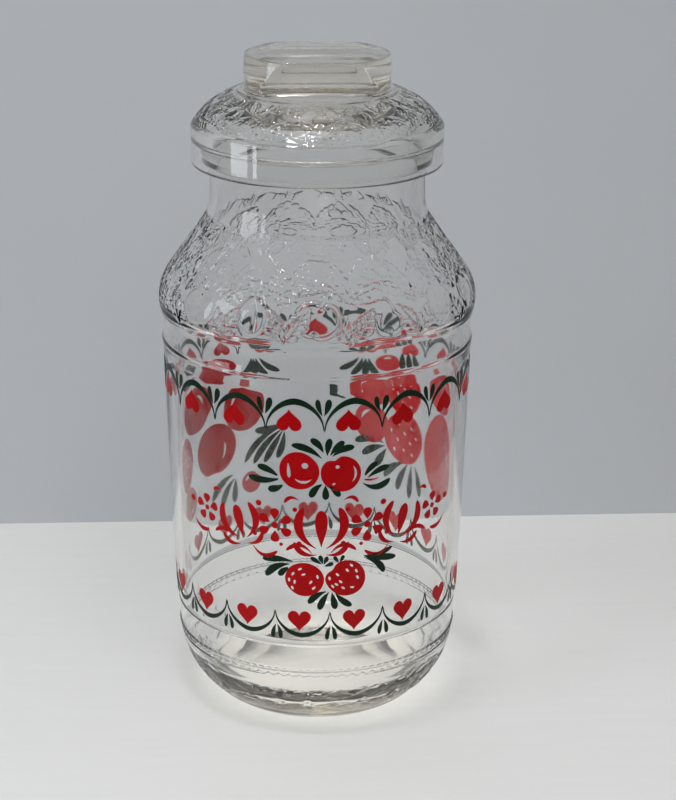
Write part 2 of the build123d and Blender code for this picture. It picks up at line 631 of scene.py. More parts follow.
@dataclass
class Waviness(Relief):
    """The slow unevenness of a skin that was blown against no mould.

    Args:
        seed: Number that fixes the waves.
        waves: How many waves are added up.
        longest: Most crests round the jar.
    """

    seed: int = 3
    waves: int = 14
    longest: int = 9

    def field_over(self, azimuths: Array, along: Array, radii: Array) -> Array:
        """Works out how far the skin waves.

        Args:
            azimuths: Angle of each column.
            along: Distance up the band of each row.
            radii: Radius of each row.

        Returns:
            One offset for each row and column, from minus the depth to 0.
        """
        source = np.random.default_rng(self.seed)
        total = np.zeros((len(along), len(azimuths)))
        for _ in range(self.waves):
            crests = source.integers(0, self.longest + 1)
            slope = source.uniform(-90.0, 90.0)
            start = source.uniform(0.0, TURN)
            total += np.sin(azimuths[None, :] * crests + along[:, None] * slope + start)
        total = 0.5 + 0.5 * total / max(1e-9, float(np.abs(total).max()))
        return -total * self.depth * self.fading(along)[:, None]


# Turned meshes


@dataclass
class Band:
    """A stretch of skin that is meshed in one way.

    Args:
        rows: Radius and height of each row.
        columns: How many columns go round.
        relief: What is pressed into it, if anything is.
    """

    rows: Array
    columns: int
    relief: Optional[Relief] = None

    def rings(self) -> list[Array]:
        """Returns one ring of places in space for each row.

        Returns:
            The rings in order.
        """
        azimuths = full_turn(self.columns)
        along = SectionPath.lengths(self.rows)
        tangents = np.gradient(self.rows, along, axis=0)
        tangents /= np.maximum(np.linalg.norm(tangents, axis=1, keepdims=True), 1e-9)
        offsets = np.zeros((len(self.rows), self.columns))
        if self.relief is not None:
            offsets = self.relief.field_over(azimuths, along, self.rows[:, 0])
        radii = self.rows[:, :1] + offsets * tangents[:, 1:]
        heights = self.rows[:, 1:] - offsets * tangents[:, :1]
        return [ring_at(radius, height, azimuths) for radius, height in zip(radii, heights)]


def ring_at(radius: Array, height: Array, azimuths: Array) -> Array:
    """Places the points of a ring in space.

    Args:
        radius: Distance from the axis of each point.
        height: Height of each point, or of all.
        azimuths: Angle of each point from the front, towards the right.

    Returns:
        Rows of x, y and z.
    """
    across = radius * np.sin(azimuths)
    depth = -radius * np.cos(azimuths)
    return np.column_stack([across, depth, np.broadcast_to(height, azimuths.shape)])


class Skin:
    """The closed skin of a piece: shells laid side by side, or one woven from rings.

    The counts of the rings may double or halve from one to the next.
    """

    def __init__(self, name: str) -> None:
        """Starts an empty skin.

        Args:
            name: Name of the piece.
        """
        self.name = name
        self.places: list[Array] = []
        self.faces: list[Face] = []
        self.count = 0

    def add(self, places: Array) -> int:
        """Adds places and returns the index of the first.

        Args:
            places: Rows of x, y and z.

        Returns:
            The index.
        """
        first = self.count
        self.places.append(places)
        self.count += len(places)
        return first

    def weave(self, rings: Sequence[Array]) -> None:
        """Joins the rings in order and closes both ends on the axis.

        Args:
            rings: Places of each ring, from the outside of the base to the end of the walk.
        """
        start = self.add(np.array([[0.0, 0.0, float(rings[0][:, 2].mean())]]))
        lower = self.add(rings[0])
        self.close(start, lower, len(rings[0]), False)
        for before, after in zip(rings, rings[1:]):
            upper = self.add(after)
            self.join(lower, len(before), upper, len(after))
            lower = upper
        end = self.add(np.array([[0.0, 0.0, float(rings[-1][:, 2].mean())]]))
        self.close(end, lower, len(rings[-1]), True)

    @staticmethod
    def rings_of(bands: Sequence[Band]) -> list[Array]:
        """Lists the rings of all bands, without the row that a band shares with the one before it.

        Args:
            bands: The bands in order.

        Returns:
            The rings in order.
        """
        return bands[0].rings() + [ring for band in bands[1:] for ring in band.rings()[1:]]

    def close(self, pole: int, ring: int, columns: int, last: bool) -> None:
        """Fans a ring to a place on the axis.

        Args:
            pole: Index of that place.
            ring: Index of the ring's first place.
            columns: How many places the ring has.
            last: Whether the ring ends the walk.
        """
        for column in range(columns):
            here, there = ring + column, ring + (column + 1) % columns
            self.faces.append((here, there, pole) if last else (pole, there, here))

    def join(self, lower: int, lower_count: int, upper: int, upper_count: int) -> None:
        """Joins two rings.

        Args:
            lower: Index of the first ring's first place.
            lower_count: How many places the first ring has.
            upper: Index of the second ring's first place.
            upper_count: How many places the second ring has.
        """
        if lower_count == upper_count:
            for column in range(lower_count):
                after = (column + 1) % lower_count
                self.faces.append((lower + column, lower + after, upper + after, upper + column))
            return
        doubled = upper_count > lower_count
        few = min(lower_count, upper_count)
        coarse, fine = (lower, upper) if doubled else (upper, lower)
        for column in range(few):
            near, far = coarse + column, coarse + (column + 1) % few
            first, middle = fine + 2 * column, fine + 2 * column + 1
            last = fine + (2 * column + 2) % (2 * few)
            trio = [(near, middle, first), (near, far, middle), (far, last, middle)]
            self.faces.extend(trio if doubled else [face[::-1] for face in trio])

    def finished(self, crease: float) -> Piece:
        """Makes the object.

        Args:
            crease: Angle in radians above which an edge is drawn sharp.

        Returns:
            The new object.
        """
        mesh = bpy.data.meshes.new(self.name)
        mesh.from_pydata(np.vstack(self.places).tolist(), [], self.faces)
        mesh.validate()
        mesh.polygons.foreach_set("use_smooth", [True] * len(mesh.polygons))
        mesh.set_sharp_from_angle(angle=crease)
        mesh.update()
        made = bpy.data.objects.new(self.name, mesh)
        bpy.context.scene.collection.objects.link(made)
        return made


# Finishes


class Slot(Enum):
    """The record's material slots."""

    JAR_GLASS = "jar_glass"
    LID_GLASS = "lid_glass"
    RED = "enamel_red"
    GREEN = "enamel_green"


def new_material(name: str) -> tuple[bpy.types.Material, Tree]:
    """Makes an empty node material.

    Args:
        name: Name of the material.

    Returns:
        The material and its node tree.
    """
    material = bpy.data.materials.new(name)
    material.use_nodes = True
    material.node_tree.nodes.clear()
    return material, material.node_tree


def add_node(tree: Tree, kind: str, **inputs: object) -> bpy.types.Node:
    """Adds a node and sets its sockets.

    Args:
        tree: Tree that takes the node.
        kind: Blender's name of the node's type.
        inputs: Socket names, with _ for a space, and their values or the sockets that feed them.

    Returns:
        The node.
    """
    node = tree.nodes.new(kind)
    for label, value in inputs.items():
        socket = node.inputs[label.replace("_", " ")]
        if isinstance(value, Socket):
            tree.links.new(value, socket)
        else:
            socket.default_value = value
    return node


def math_node(tree: Tree, operation: str, first: Socket,
              second: Socket) -> Socket:
    """Adds a Math node.

    Args:
        tree: Tree that takes the node.
        operation: Blender's name of the sum.
        first: Socket of the first value.
        second: Socket of the second value.

    Returns:
        The socket of its result.
    """
    made = tree.nodes.new("ShaderNodeMath")
    made.operation = operation
    tree.links.new(first, made.inputs[0])
    tree.links.new(second, made.inputs[1])
    return made.outputs["Value"]


def colour_node(tree: Tree, share: Socket, first: Sequence[float],
                second: Sequence[float]) -> Socket:
    """Adds a node that goes from one colour to another.

    Args:
        tree: Tree that takes the node.
        share: Socket that says how far it goes.
        first: The colour at 0.
        second: The colour at 1.

    Returns:
        The socket of its colour.
    """
    made = tree.nodes.new("ShaderNodeMix")
    made.data_type = "RGBA"
    tree.links.new(share, made.inputs["Factor"])
    made.inputs[6].default_value = (*first, 1.0)
    made.inputs[7].default_value = (*second, 1.0)
    return made.outputs[2]


def finish_tree(tree: Tree, share: float | Socket, first: bpy.types.Node,
                second: bpy.types.Node, output: str = "ShaderNodeOutputMaterial") -> bpy.types.Node:
    """Mixes two shaders and leads them to the output.

    Args:
        tree: Tree that takes the nodes.
        share: How much of the second there is, or the socket that says so.
        first: The shader at 0.
        second: The shader at 1.
        output: Blender's name of the output node.

    Returns:
        The output node.
    """
    blend = add_node(tree, "ShaderNodeMixShader", Fac=share)
    tree.links.new(first.outputs[0], blend.inputs[1])
    tree.links.new(second.outputs[0], blend.inputs[2])
    end = tree.nodes.new(output)
    tree.links.new(blend.outputs["Shader"], end.inputs["Surface"])
    return end


@dataclass(frozen=True)
class GlassFinish:
    """Clear pressed glass with a faint tint in its depth.

    Args:
        name: Name of the material.
        tint: Colour that the depth of the glass keeps.
        density: Strength of that tint for each metre of glass.
        roughness: Blur of the surface.
        ripple: Height of the fine unevenness of the surface.
        shade: Share of light that each skin lets through to what lies behind it.
        gloss: Strength of the reflections where the skin is seen straight on.
        wear: Two heights and the blur that wear adds at each of them.
    """

    name: str
    tint: Triple
    density: float
    roughness: float = 0.015
    ripple: float = 0.05 * MM
    shade: float = 0.96
    gloss: float = 0.65
    wear: tuple[Point, Point] = ((0.0, 0.0), (1.0, 0.0))

    def material(self) -> bpy.types.Material:
        """Builds the material.

        Returns:
            The material.
        """
        material, tree = new_material(self.name)
        place = add_node(tree, "ShaderNodeTexCoord").outputs["Object"]
        slow = add_node(tree, "ShaderNodeTexNoise", Vector=place, Scale=46.0, Detail=2.0, Roughness=0.4)
        fine = add_node(tree, "ShaderNodeTexNoise", Vector=place, Scale=330.0, Detail=3.0, Roughness=0.6)
        broad = add_node(tree, "ShaderNodeBump", Strength=0.55, Distance=self.ripple,
                         Height=slow.outputs["Fac"])
        grain = add_node(tree, "ShaderNodeBump", Strength=0.25, Distance=self.ripple * 0.12,
                         Height=fine.outputs["Fac"], Normal=broad.outputs["Normal"])
        smear = add_node(tree, "ShaderNodeTexNoise", Vector=place, Scale=18.0, Detail=5.0, Roughness=0.65)
        haze = add_node(tree, "ShaderNodeMapRange", Value=smear.outputs["Fac"], From_Min=0.42, From_Max=0.8,
                        To_Min=self.roughness, To_Max=self.roughness + 0.06)
        height = add_node(tree, "ShaderNodeSeparateXYZ", Vector=place)
        (low, low_blur), (high, high_blur) = self.wear
        worn = add_node(tree, "ShaderNodeMapRange", Value=height.outputs["Z"], From_Min=low, From_Max=high,
                        To_Min=low_blur, To_Max=high_blur)
        blur = math_node(tree, "ADD", haze.outputs["Result"], worn.outputs["Result"])
        glass = add_node(
            tree,
            "ShaderNodeBsdfPrincipled",
            Base_Color=(0.99, 0.99, 0.985, 1.0),
            Roughness=blur,
            IOR=1.5,
            Specular_Tint=(self.gloss, self.gloss, self.gloss, 1.0),
            Transmission_Weight=1.0,
            Normal=grain.outputs["Normal"],
        )
        through = add_node(tree, "ShaderNodeBsdfTransparent", Color=(self.shade, self.shade, self.shade, 1.0))
        shadow = add_node(tree, "ShaderNodeLightPath").outputs["Is Shadow Ray"]
        depth = add_node(tree, "ShaderNodeVolumeAbsorption", Color=(*self.tint, 1.0), Density=self.density)
        output = finish_tree(tree, shadow, glass, through)
        tree.links.new(depth.outputs["Volume"], output.inputs["Volume"])
        return material


@dataclass(frozen=True)
class EnamelFinish:
    """Fired enamel print: glossy colour that lies a little uneven and lets some light through.

    Args:
        name: Name of the material.
        colour: Colour of the full layer.
        thin: Colour where the layer is thin.
        glow: Colour of the light that comes through it.
        glow_share: How much of it comes through.
        roughness: Blur of its gloss.
    """

    name: str
    colour: Triple
    thin: Triple
    glow: Triple
    glow_share: float = 0.32
    roughness: float = 0.33

    def material(self) -> bpy.types.Material:
        """Builds the material.

        Returns:
            The material.
        """
        material, tree = new_material(self.name)
        place = add_node(tree, "ShaderNodeTexCoord").outputs["Object"]
        cloud = add_node(tree, "ShaderNodeTexNoise", Vector=place, Scale=120.0, Detail=6.0, Roughness=0.62)
        speck = add_node(tree, "ShaderNodeTexNoise", Vector=place, Scale=1500.0, Detail=2.0, Roughness=0.5)
        ramp = add_node(tree, "ShaderNodeMapRange", Value=cloud.outputs["Fac"], From_Min=0.46, From_Max=0.78)
        colour = colour_node(tree, ramp.outputs["Result"], self.colour, self.thin)
        bump = add_node(tree, "ShaderNodeBump", Strength=0.3, Distance=0.02 * MM, Height=speck.outputs["Fac"])
        enamel = add_node(tree, "ShaderNodeBsdfPrincipled", Base_Color=colour,
                          Roughness=self.roughness, IOR=1.4, Specular_IOR_Level=0.2,
                          Normal=bump.outputs["Normal"])
        glow = add_node(tree, "ShaderNodeBsdfTranslucent", Color=(*self.glow, 1.0))
        finish_tree(tree, self.glow_share, enamel, glow)
        return material


JAR_FINISH = GlassFinish("clear_glass", (0.845, 0.825, 0.77), 34.0,
                         wear=((4.0 * MM, 0.12), (40.0 * MM, 0.0)))
LID_FINISH = GlassFinish("thick_glass", (0.83, 0.76, 0.62), 14.0, roughness=0.02, gloss=1.0,
                         wear=((281.5 * MM, 0.0), (283.0 * MM, 0.06)))
RED_FINISH = EnamelFinish("red_enamel", (0.39, 0.003, 0.005), (0.44, 0.008, 0.011), (0.85, 0.02, 0.025))
GREEN_FINISH = EnamelFinish("green_enamel", (0.004, 0.016, 0.008), (0.008, 0.028, 0.014), (0.02, 0.06, 0.04),
                            glow_share=0.06)


# Outlines of the print, flat: across to the right of the front, and up


def oval(centre: Point, wide: float, tall: float, turn: float = 0.0, steps: int = 40) -> Array:
    """Returns an oval outline.

    Args:
        centre: Its middle.
        wide: Half width before it is turned.
        tall: Half height before it is turned.
        turn: How far it is turned, in radians.
        steps: How many points it has.

    Returns:
        The points in order.
    """
    angles = full_turn(steps)
    return turned_flat(np.column_stack([wide * np.cos(angles), tall * np.sin(angles)]), centre, turn)


def turned_flat(points: Array, centre: Point, turn: float) -> Array:
    """Turns flat points about the origin and moves them to a centre.

    Args:
        points: Rows of across and up.
        centre: Where the origin goes.
        turn: Angle in radians.

    Returns:
        The moved points.
    """
    cosine, sine = math.cos(turn), math.sin(turn)
    return points @ np.array([[cosine, sine], [-sine, cosine]]) + np.asarray(centre)


def drop(root: Point, tip: Point, width: float, bend: float = 0.0, root_width: float = 0.24 * MM) -> Array:
    """Returns a brush stroke: narrow at its root and round at its tip.

    Args:
        root: The narrow end.
        tip: The round end.
        width: Widest part.
        bend: How far its middle bows to the left, as a share of its length.
        root_width: Width of the narrow end.

    Returns:
        The points in order.
    """
    start, end = np.asarray(root, float), np.asarray(tip, float)
    chord = end - start
    left = np.array([-chord[1], chord[0]])
    share = 1.0 - np.cos(np.linspace(0.0, 1.0, 23) * math.pi / 2.0) ** 1.15
    middle = start + np.outer(share, chord) + np.outer(4.0 * share * (1.0 - share) * bend, left)
    heading = np.gradient(middle, axis=0)
    heading /= np.linalg.norm(heading, axis=1, keepdims=True)
    side = np.column_stack([-heading[:, 1], heading[:, 0]])
    swell = 0.68
    rising = root_width / width + (1.0 - root_width / width) * np.sin(
        np.clip(share / swell, 0.0, 1.0) * math.pi / 2.0) ** 1.15
    falling = np.sqrt(np.clip(1.0 - ((share - swell) / (1.0 - swell)) ** 2, 0.0, 1.0))
    half = width / 2.0 * np.where(share < swell, rising, falling)
    return np.vstack([middle - side * half[:, None], (middle + side * half[:, None])[-2::-1]])


def heart(centre: Point, width: float, height: float, upright: bool) -> Array:
    """Returns the outline of a heart.

    Args:
        centre: Middle of its box.
        width: Width of its box.
        height: Height of its box.
        upright: Whether its point is at the bottom.

    Returns:
        The points in order.
    """
    angles = full_turn(44)
    across = 16.0 * np.sin(angles) ** 3
    up = 13.0 * np.cos(angles) - 5.0 * np.cos(2 * angles) - 2.0 * np.cos(3 * angles) - np.cos(4 * angles)
    across *= width / (across.max() - across.min())
    up = (up - (up.max() + up.min()) / 2.0) * height / (up.max() - up.min())
    points = np.column_stack([across, up])
    return points + np.asarray(centre) if upright else points * (-1.0, -1.0) + np.asarray(centre)


def lumpy(centre: Point, radius: Point, lumps: Sequence[Triple]) -> Array:
    """Returns a round fruit outline with swellings and clefts.

    Args:
        centre: Its middle.
        radius: Half width and half height.
        lumps: For each swelling its angle, its height as a share of the radius and its spread.

    Returns:
        The points in order.
    """
    angles = full_turn(64)
    swell = np.ones_like(angles)
    for at, share, spread in lumps:
        apart = (angles - at + math.pi) % TURN - math.pi
        swell += share * np.exp(-((apart / spread) ** 2))
    points = np.column_stack([radius[0] * swell * np.cos(angles), radius[1] * swell * np.sin(angles)])
    return points + np.asarray(centre)


def crescent(centre: Point, radius: float, start: float, end: float, width: float) -> Array:
    """Returns a crescent: an arc that is wide in its middle and pointed at its ends.

    Args:
        centre: Middle of the arc.
        radius: Radius of the arc.
        start: First angle in radians.
        end: Last angle in radians.
        width: Widest part.

    Returns:
        The points in order.
    """
    angles = np.linspace(start, end, 14)
    half = width / 2.0 * np.sin(np.linspace(0.0, math.pi, 14)) + 0.05 * MM
    ray = np.column_stack([np.cos(angles), np.sin(angles)])
    outer, inner = ray * (radius + half)[:, None], ray * (radius - half)[:, None]
    return np.vstack([outer, inner[::-1]]) + np.asarray(centre)


def scallop(middle: float, pitch: float, cusp: float, outer: float, inner: float, spike: float) -> Array:
    """Returns one arch of a scalloped line, which thins out towards its two cusps.

    Args:
        middle: Place across of its crown.
        pitch: Distance between its cusps.
        cusp: Height where its legs end.
        outer: Height of the crown's outer edge; below the cusp it hangs down.
        inner: Height of the crown's inner edge.
        spike: Length by which the cusps run on past the legs.

    Returns:
        The points in order.
    """
    angles = np.linspace(math.pi, 0.0, 37)
    leg = 0.55 * MM
    out_wide = pitch / 2.0 - 0.03 * MM
    power = 2.0 / 1.8
    across = np.sign(np.cos(angles)) * np.abs(np.cos(angles)) ** power
    rise = np.sin(angles).clip(0.0) ** power
    outside = np.column_stack([out_wide * across, (outer - cusp) * rise])
    inside = np.column_stack([(out_wide - leg) * across, (inner - cusp) * rise])
    side = math.copysign(spike, cusp - outer)
    tips = np.array([[out_wide, side], [-out_wide, side]])
    outline = np.vstack([outside, tips[:1], inside[::-1], tips[1:]])
    return outline + np.array([middle, cusp])


class Ink(Enum):
    """The enamel colours."""

    RED = "red"
    GREEN = "green"


@dataclass
class Mark:
    """One closed shape of the print.

    Args:
        ink: Its colour.
        outline: Its edge.
        holes: Edges of the places that are left unprinted.
    """

    ink: Ink
    outline: Array
    holes: list[Array] = field(default_factory=list)


@dataclass
class Printer:
    """Lays flat marks round the body as thin raised enamel.

    Args:
        skin: Heights and radii of the body that carries the print.
        middle_radius: Radius at which a flat distance keeps its length.
        lift: Gap between the glass and the underside of the enamel.
        thickness: Thickness of the enamel.
        grid: Spacing of the points inside a shape, so that it follows the round body.
    """

    skin: Array
    middle_radius: float = 65.0 * MM
    lift: float = 0.03 * MM
    thickness: float = 0.12 * MM
    grid: float = 2.4 * MM

    def shell(self, mark: Mark) -> tuple[Array, list[Face]]:
        """Builds the closed shell of one mark.

        Args:
            mark: The flat shape.

        Returns:
            Places in space and faces.
        """
        loops = [mark.outline, *mark.holes]
        low, high = mark.outline.min(axis=0), mark.outline.max(axis=0)
        across = np.arange(low[0] + self.grid / 2.0, high[0], self.grid)
        up = np.arange(low[1] + self.grid / 2.0, high[1], self.grid)
        inner = np.array([(x, y) for y in up for x in across]).reshape(-1, 2)
        inner = inner[[self.holds(mark, point) for point in inner]] if len(inner) else inner
        places = [Vector(point) for loop in loops for point in loop] + [Vector(point) for point in inner]
        rims: list[list[int]] = []
        first = 0
        for loop in loops:
            rims.append(list(range(first, first + len(loop))))
            first += len(loop)
        flat, _, triangles, *_ = delaunay_2d_cdt(places, [], rims, 2, 1e-7)
        flat_points = np.array([tuple(point) for point in flat]).reshape(-1, 2)
        return self.thickened(flat_points, [tuple(face) for face in triangles])

    @staticmethod
    def holds(mark: Mark, point: Array) -> bool:
        """Tells whether a point is printed, by the even and odd crossings of the mark's edges.

        Args:
            mark: The flat shape.
            point: Place across and up.

        Returns:
            Whether it is printed.
        """
        odd = False
        for loop in (mark.outline, *mark.holes):
            after = np.roll(loop, -1, axis=0)
            spans = (loop[:, 1] > point[1]) != (after[:, 1] > point[1])
            rise = np.where(spans, after[:, 1] - loop[:, 1], 1.0)
            reach = loop[:, 0] + (point[1] - loop[:, 1]) * (after[:, 0] - loop[:, 0]) / rise
            odd ^= bool(np.count_nonzero(spans & (point[0] < reach)) % 2)
        return odd

    def thickened(self, flat: Array, triangles: list[Face]) -> tuple[Array, list[Face]]:
        """Bends a flat net round the body and gives it two sides and an edge.

        Args:
            flat: Rows of across and up.
            triangles: Faces of the net.

        Returns:
            Places in space and faces.
        """
        upright = []
        for face in triangles:
            one, two, three = (flat[index] for index in face[:3])
            turn = (two[0] - one[0]) * (three[1] - one[1]) - (two[1] - one[1]) * (three[0] - one[0])
            upright.append(face if turn > 0 else face[::-1])
        azimuths = flat[:, 0] / self.middle_radius
        skin = np.interp(flat[:, 1], self.skin[:, 1], self.skin[:, 0])
        under = ring_at(skin + self.lift, flat[:, 1], azimuths)
        over = ring_at(skin + self.lift + self.thickness, flat[:, 1], azimuths)
        count = len(flat)
        edges: dict[tuple[int, int], None] = {}
        for face in upright:
            for begin, end in zip(face, face[1:] + face[:1]):
                if (end, begin) in edges:
                    del edges[(end, begin)]
                else:
                    edges[(begin, end)] = None
        faces = [tuple(index + count for index in face) for face in upright]
        faces += [face[::-1] for face in upright]
        faces += [(begin, end, end + count, begin + count) for begin, end in edges]
        return np.vstack([under, over]), faces

    def lay(self, name: str, marks: Sequence[Mark]) -> Piece:
        """Builds one piece from marks of one colour.

        Args:
            name: Name of the piece.
            marks: The marks.

        Returns:
            The new object.
        """
        enamel = Skin(name)
        for mark in marks:
            places, faces = self.shell(mark)
            first = enamel.add(places)
            enamel.faces += [tuple(index + first for index in face) for face in faces]
        return enamel.finished(math.radians(40.0))


# The jar


@dataclass
class Jar:
    """The glass jar: foot, heel with its relief, plain body, rolled shoulder with fruit, and finish."""

    bearing_radius: float = 43.5 * MM
    bearing_width: float = 4.0 * MM
    bearing_round: float = 1.6 * MM
    punt_rise: float = 4.5 * MM
    heel_radius: float = 62.2 * MM
    heel_level: float = 32.0 * MM
    heel_bulge: float = 4.6 * MM
    heel_top_radius: float = 63.0 * MM
    band_level: float = 44.4 * MM
    foot_radius: float = 63.5 * MM
    foot_level: float = 46.9 * MM
    body_radius: float = 67.3 * MM
    body_level: float = 161.2 * MM
    body_bulge: float = 0.5 * MM
    ring_radius: float = 68.1 * MM
    ring_level: float = 166.6 * MM
    cove_bulge: float = -1.1 * MM
    roll_edge_radius: float = 68.24 * MM
    roll_edge_level: float = 178.9 * MM
    shoulder_radius: float = 69.08 * MM
    roll_level: float = 184.8 * MM
    bend: float = 20.6 * MM
    neck_radius: float = 46.3 * MM
    neck_level: float = 229.9 * MM
    finish_radius: float = 49.6 * MM
    finish_level: float = 244.8 * MM
    rim_level: float = 253.0 * MM
    wall: float = 3.7 * MM
    floor_level: float = 10.5 * MM
    inner_round: float = 20.0 * MM
    bead: float = 0.7 * MM
    groove: float = 0.6 * MM
    rim_round: float = 1.8 * MM
    relief_depth: float = 0.6 * MM
    relief_start: float = 2.0 * MM
    relief_stop: float = 222.5 * MM
    heel_relief_start: float = 2.6 * MM
    heel_relief_stop: float = 23.4 * MM
    bead_start: float = 27.6 * MM
    bead_stop: float = 33.4 * MM
    bead_depth: float = 0.4 * MM
    dash_half: float = 0.8 * MM
    arc_reach: Point = (3.4 * MM, 0.9 * MM)
    fruit_count: int = 15
    heel_count: int = 26
    fine_columns: int = 768
    row_step: float = 0.58 * MM
    heel_step: float = 0.95 * MM
    bead_step: float = 0.4 * MM
    plain_step: float = 6.0 * MM

    def slope(self) -> float:
        """Returns the angle from vertical of the cone between the shoulder and the neck.

        Returns:
            The angle in radians.
        """
        across = (self.neck_radius + self.bend) - (self.shoulder_radius - self.bend)
        rise = self.neck_level - self.roll_level
        return math.asin(2.0 * self.bend / math.hypot(across, rise)) - math.atan2(across, rise)

    def ridge(self, radius: float, level: float, size: float) -> Array:
        """Returns a small rounded ridge on the skin, or a groove where size is negative."""
        half = abs(size)
        return bulged((radius, level - half), (radius, level + half), size * 0.75, 10)

    def outside(self) -> SectionPath:
        """Returns the section of the outer skin, from the middle of the base up to the mouth.

        Returns:
            The path.
        """
        edge = self.bearing_radius - self.bearing_width
        sphere = (edge * edge + self.punt_rise**2) / (2.0 * self.punt_rise)
        reach = math.asin(edge / sphere)
        punt = arc((0.0, self.punt_rise - sphere), sphere, math.pi / 2.0, math.pi / 2.0 - reach)
        low = (self.heel_radius, self.heel_level - self.bead)
        heel = bulged((self.bearing_radius, 0.0), low, self.heel_bulge, 400)
        heel_top = (self.heel_top_radius, self.band_level - self.groove)
        foot = (self.foot_radius, self.foot_level)
        body = (self.body_radius, self.body_level)
        ring = (self.ring_radius, self.ring_level)
        roll_edge = (self.roll_edge_radius, self.roll_edge_level)
        slope = self.slope()
        roll_centre = (self.shoulder_radius - self.bend, self.roll_level)
        root_centre = (self.neck_radius + self.bend, self.neck_level)
        roll_start = -math.asin((self.roll_level - self.roll_edge_level) / self.bend)
        roll = arc(roll_centre, self.bend, roll_start, slope, 200)
        root = arc(root_centre, self.bend, math.pi + slope, math.pi, 120)
        path = SectionPath(punt)
        path.line_to((self.bearing_radius, 0.0), self.bearing_round)
        path.then(heel, self.bearing_round)
        path.then(self.ridge(self.heel_radius, self.heel_level, self.bead))
        path.line_to(heel_top, self.groove)
        path.then(self.ridge(self.heel_top_radius, self.band_level, -self.groove), 0.5 * self.groove)
        path.line_to(foot, 0.5 * self.groove)
        path.then(bulged(foot, body, self.body_bulge, 200), 1.0 * MM)
        path.line_to(ring, 1.5 * MM)
        path.then(bulged(ring, roll_edge, self.cove_bulge), 1.2 * MM)
        path.then(roll, 0.8 * MM)
        path.line_to(tuple(root[0]), pieces=200)
        path.then(root)
        path.line_to((self.neck_radius, self.finish_level))
        path.line_to((self.finish_radius, self.finish_level), 1.5 * MM)
        path.line_to((self.finish_radius, self.rim_level), self.rim_round)
        path.line_to((self.neck_radius - self.wall, self.rim_level), self.rim_round)
        return path

    def inside(self) -> SectionPath:
        """Returns the section of the inner skin, from the mouth down to the middle of the floor.

        Returns:
            The path.
        """
        mouth = self.neck_radius - self.wall
        slope = self.slope()
        roll_start = -math.asin((self.roll_level - self.roll_edge_level) / self.bend)
        root_centre = (self.neck_radius + self.bend, self.neck_level)
        roll_centre = (self.shoulder_radius - self.bend, self.roll_level)
        root = arc(root_centre, self.bend + self.wall, math.pi, math.pi + slope)
        roll = arc(roll_centre, self.bend - self.wall, slope, roll_start)
        cove_foot = (self.ring_radius - self.wall, self.ring_level)
        foot = (self.heel_top_radius - self.wall, self.floor_level + self.inner_round)
        heel = arc((foot[0] - self.inner_round, foot[1]), self.inner_round, 0.0, -math.pi / 2.0)
        path = SectionPath(straight((mouth, self.rim_level), (mouth, self.neck_level)))
        path.then(root)
        path.line_to(tuple(roll[0]))
        path.then(roll)
        path.then(bulged(tuple(roll[-1]), cove_foot, -self.cove_bulge), 2.0 * MM)
        path.line_to((self.body_radius - self.wall, self.body_level), 2.0 * MM)
        path.line_to(foot, 2.0 * MM)
        path.then(heel)
        path.line_to((0.0, self.floor_level))
        return path

    def body_skin(self) -> Array:
        """Returns the radii and heights of the body's skin, which carries the print."""
        foot = (self.foot_radius, self.foot_level)
        return bulged(foot, (self.body_radius, self.body_level), self.body_bulge, 200)

    def shoulder_relief(self) -> Relief:
        """Returns the fruit and leaves that are pressed round the shoulder.

        Returns:
            The relief of the band.
        """
        source = np.random.default_rng(11)
        forms: list[Placement] = []
        count = self.fruit_count
        pitch = TURN / count
        fruits = (Apple(), Pear(), Strawberry(), Apple(), Plum())
        upper = (Berries(), CherryPair(), Blossom())
        radius = self.shoulder_radius
        middles = [(index + source.uniform(-0.08, 0.08)) * pitch for index in range(count)]
        for azimuth in middles:
            gap = azimuth + 0.5 * pitch
            forms.append(Placement(Tendril(0.2, 3.0, 0.05), gap, 20.5 * MM, 15.0 * MM, math.pi / 2.0))
            forms += leaf_fan((azimuth, 39.5 * MM), 0.8 * radius, 4.4 * MM, (-1.0, 0.9, 0.0), 0.42)
            forms.append(Placement(Tendril(), gap, 45.0 * MM, 4.6 * MM, source.uniform(-0.6, 0.6)))
            turns = [turn + source.uniform(-0.1, 0.1) for turn in (-1.3, 1.2, -0.5, 0.42)]
            forms += leaf_fan((gap, 20.0 * MM), 0.92 * radius, source.uniform(8.6, 9.8) * MM, turns, 0.33)
        for index, azimuth in enumerate(middles):
            gap = azimuth + 0.5 * pitch
            size = source.uniform(6.0, 6.8) * MM
            forms.append(Placement(upper[index % 3], azimuth, 33.0 * MM, size, source.uniform(-0.3, 0.3)))
            forms += leaf_fan((gap, 1.5 * MM), radius, 8.4 * MM, (-0.62, 0.55), 0.46)
            forms.append(Placement(TRIO, gap, 19.0 * MM, 2.9 * MM, source.uniform(-0.5, 0.5)))
            size = source.uniform(8.4, 9.4) * MM
            forms.append(Placement(fruits[index % 5], azimuth, 12.0 * MM, size, source.uniform(-0.35, 0.35)))
        return Relief(self.relief_depth, 2.4 * MM, forms, 0.08 * MM)

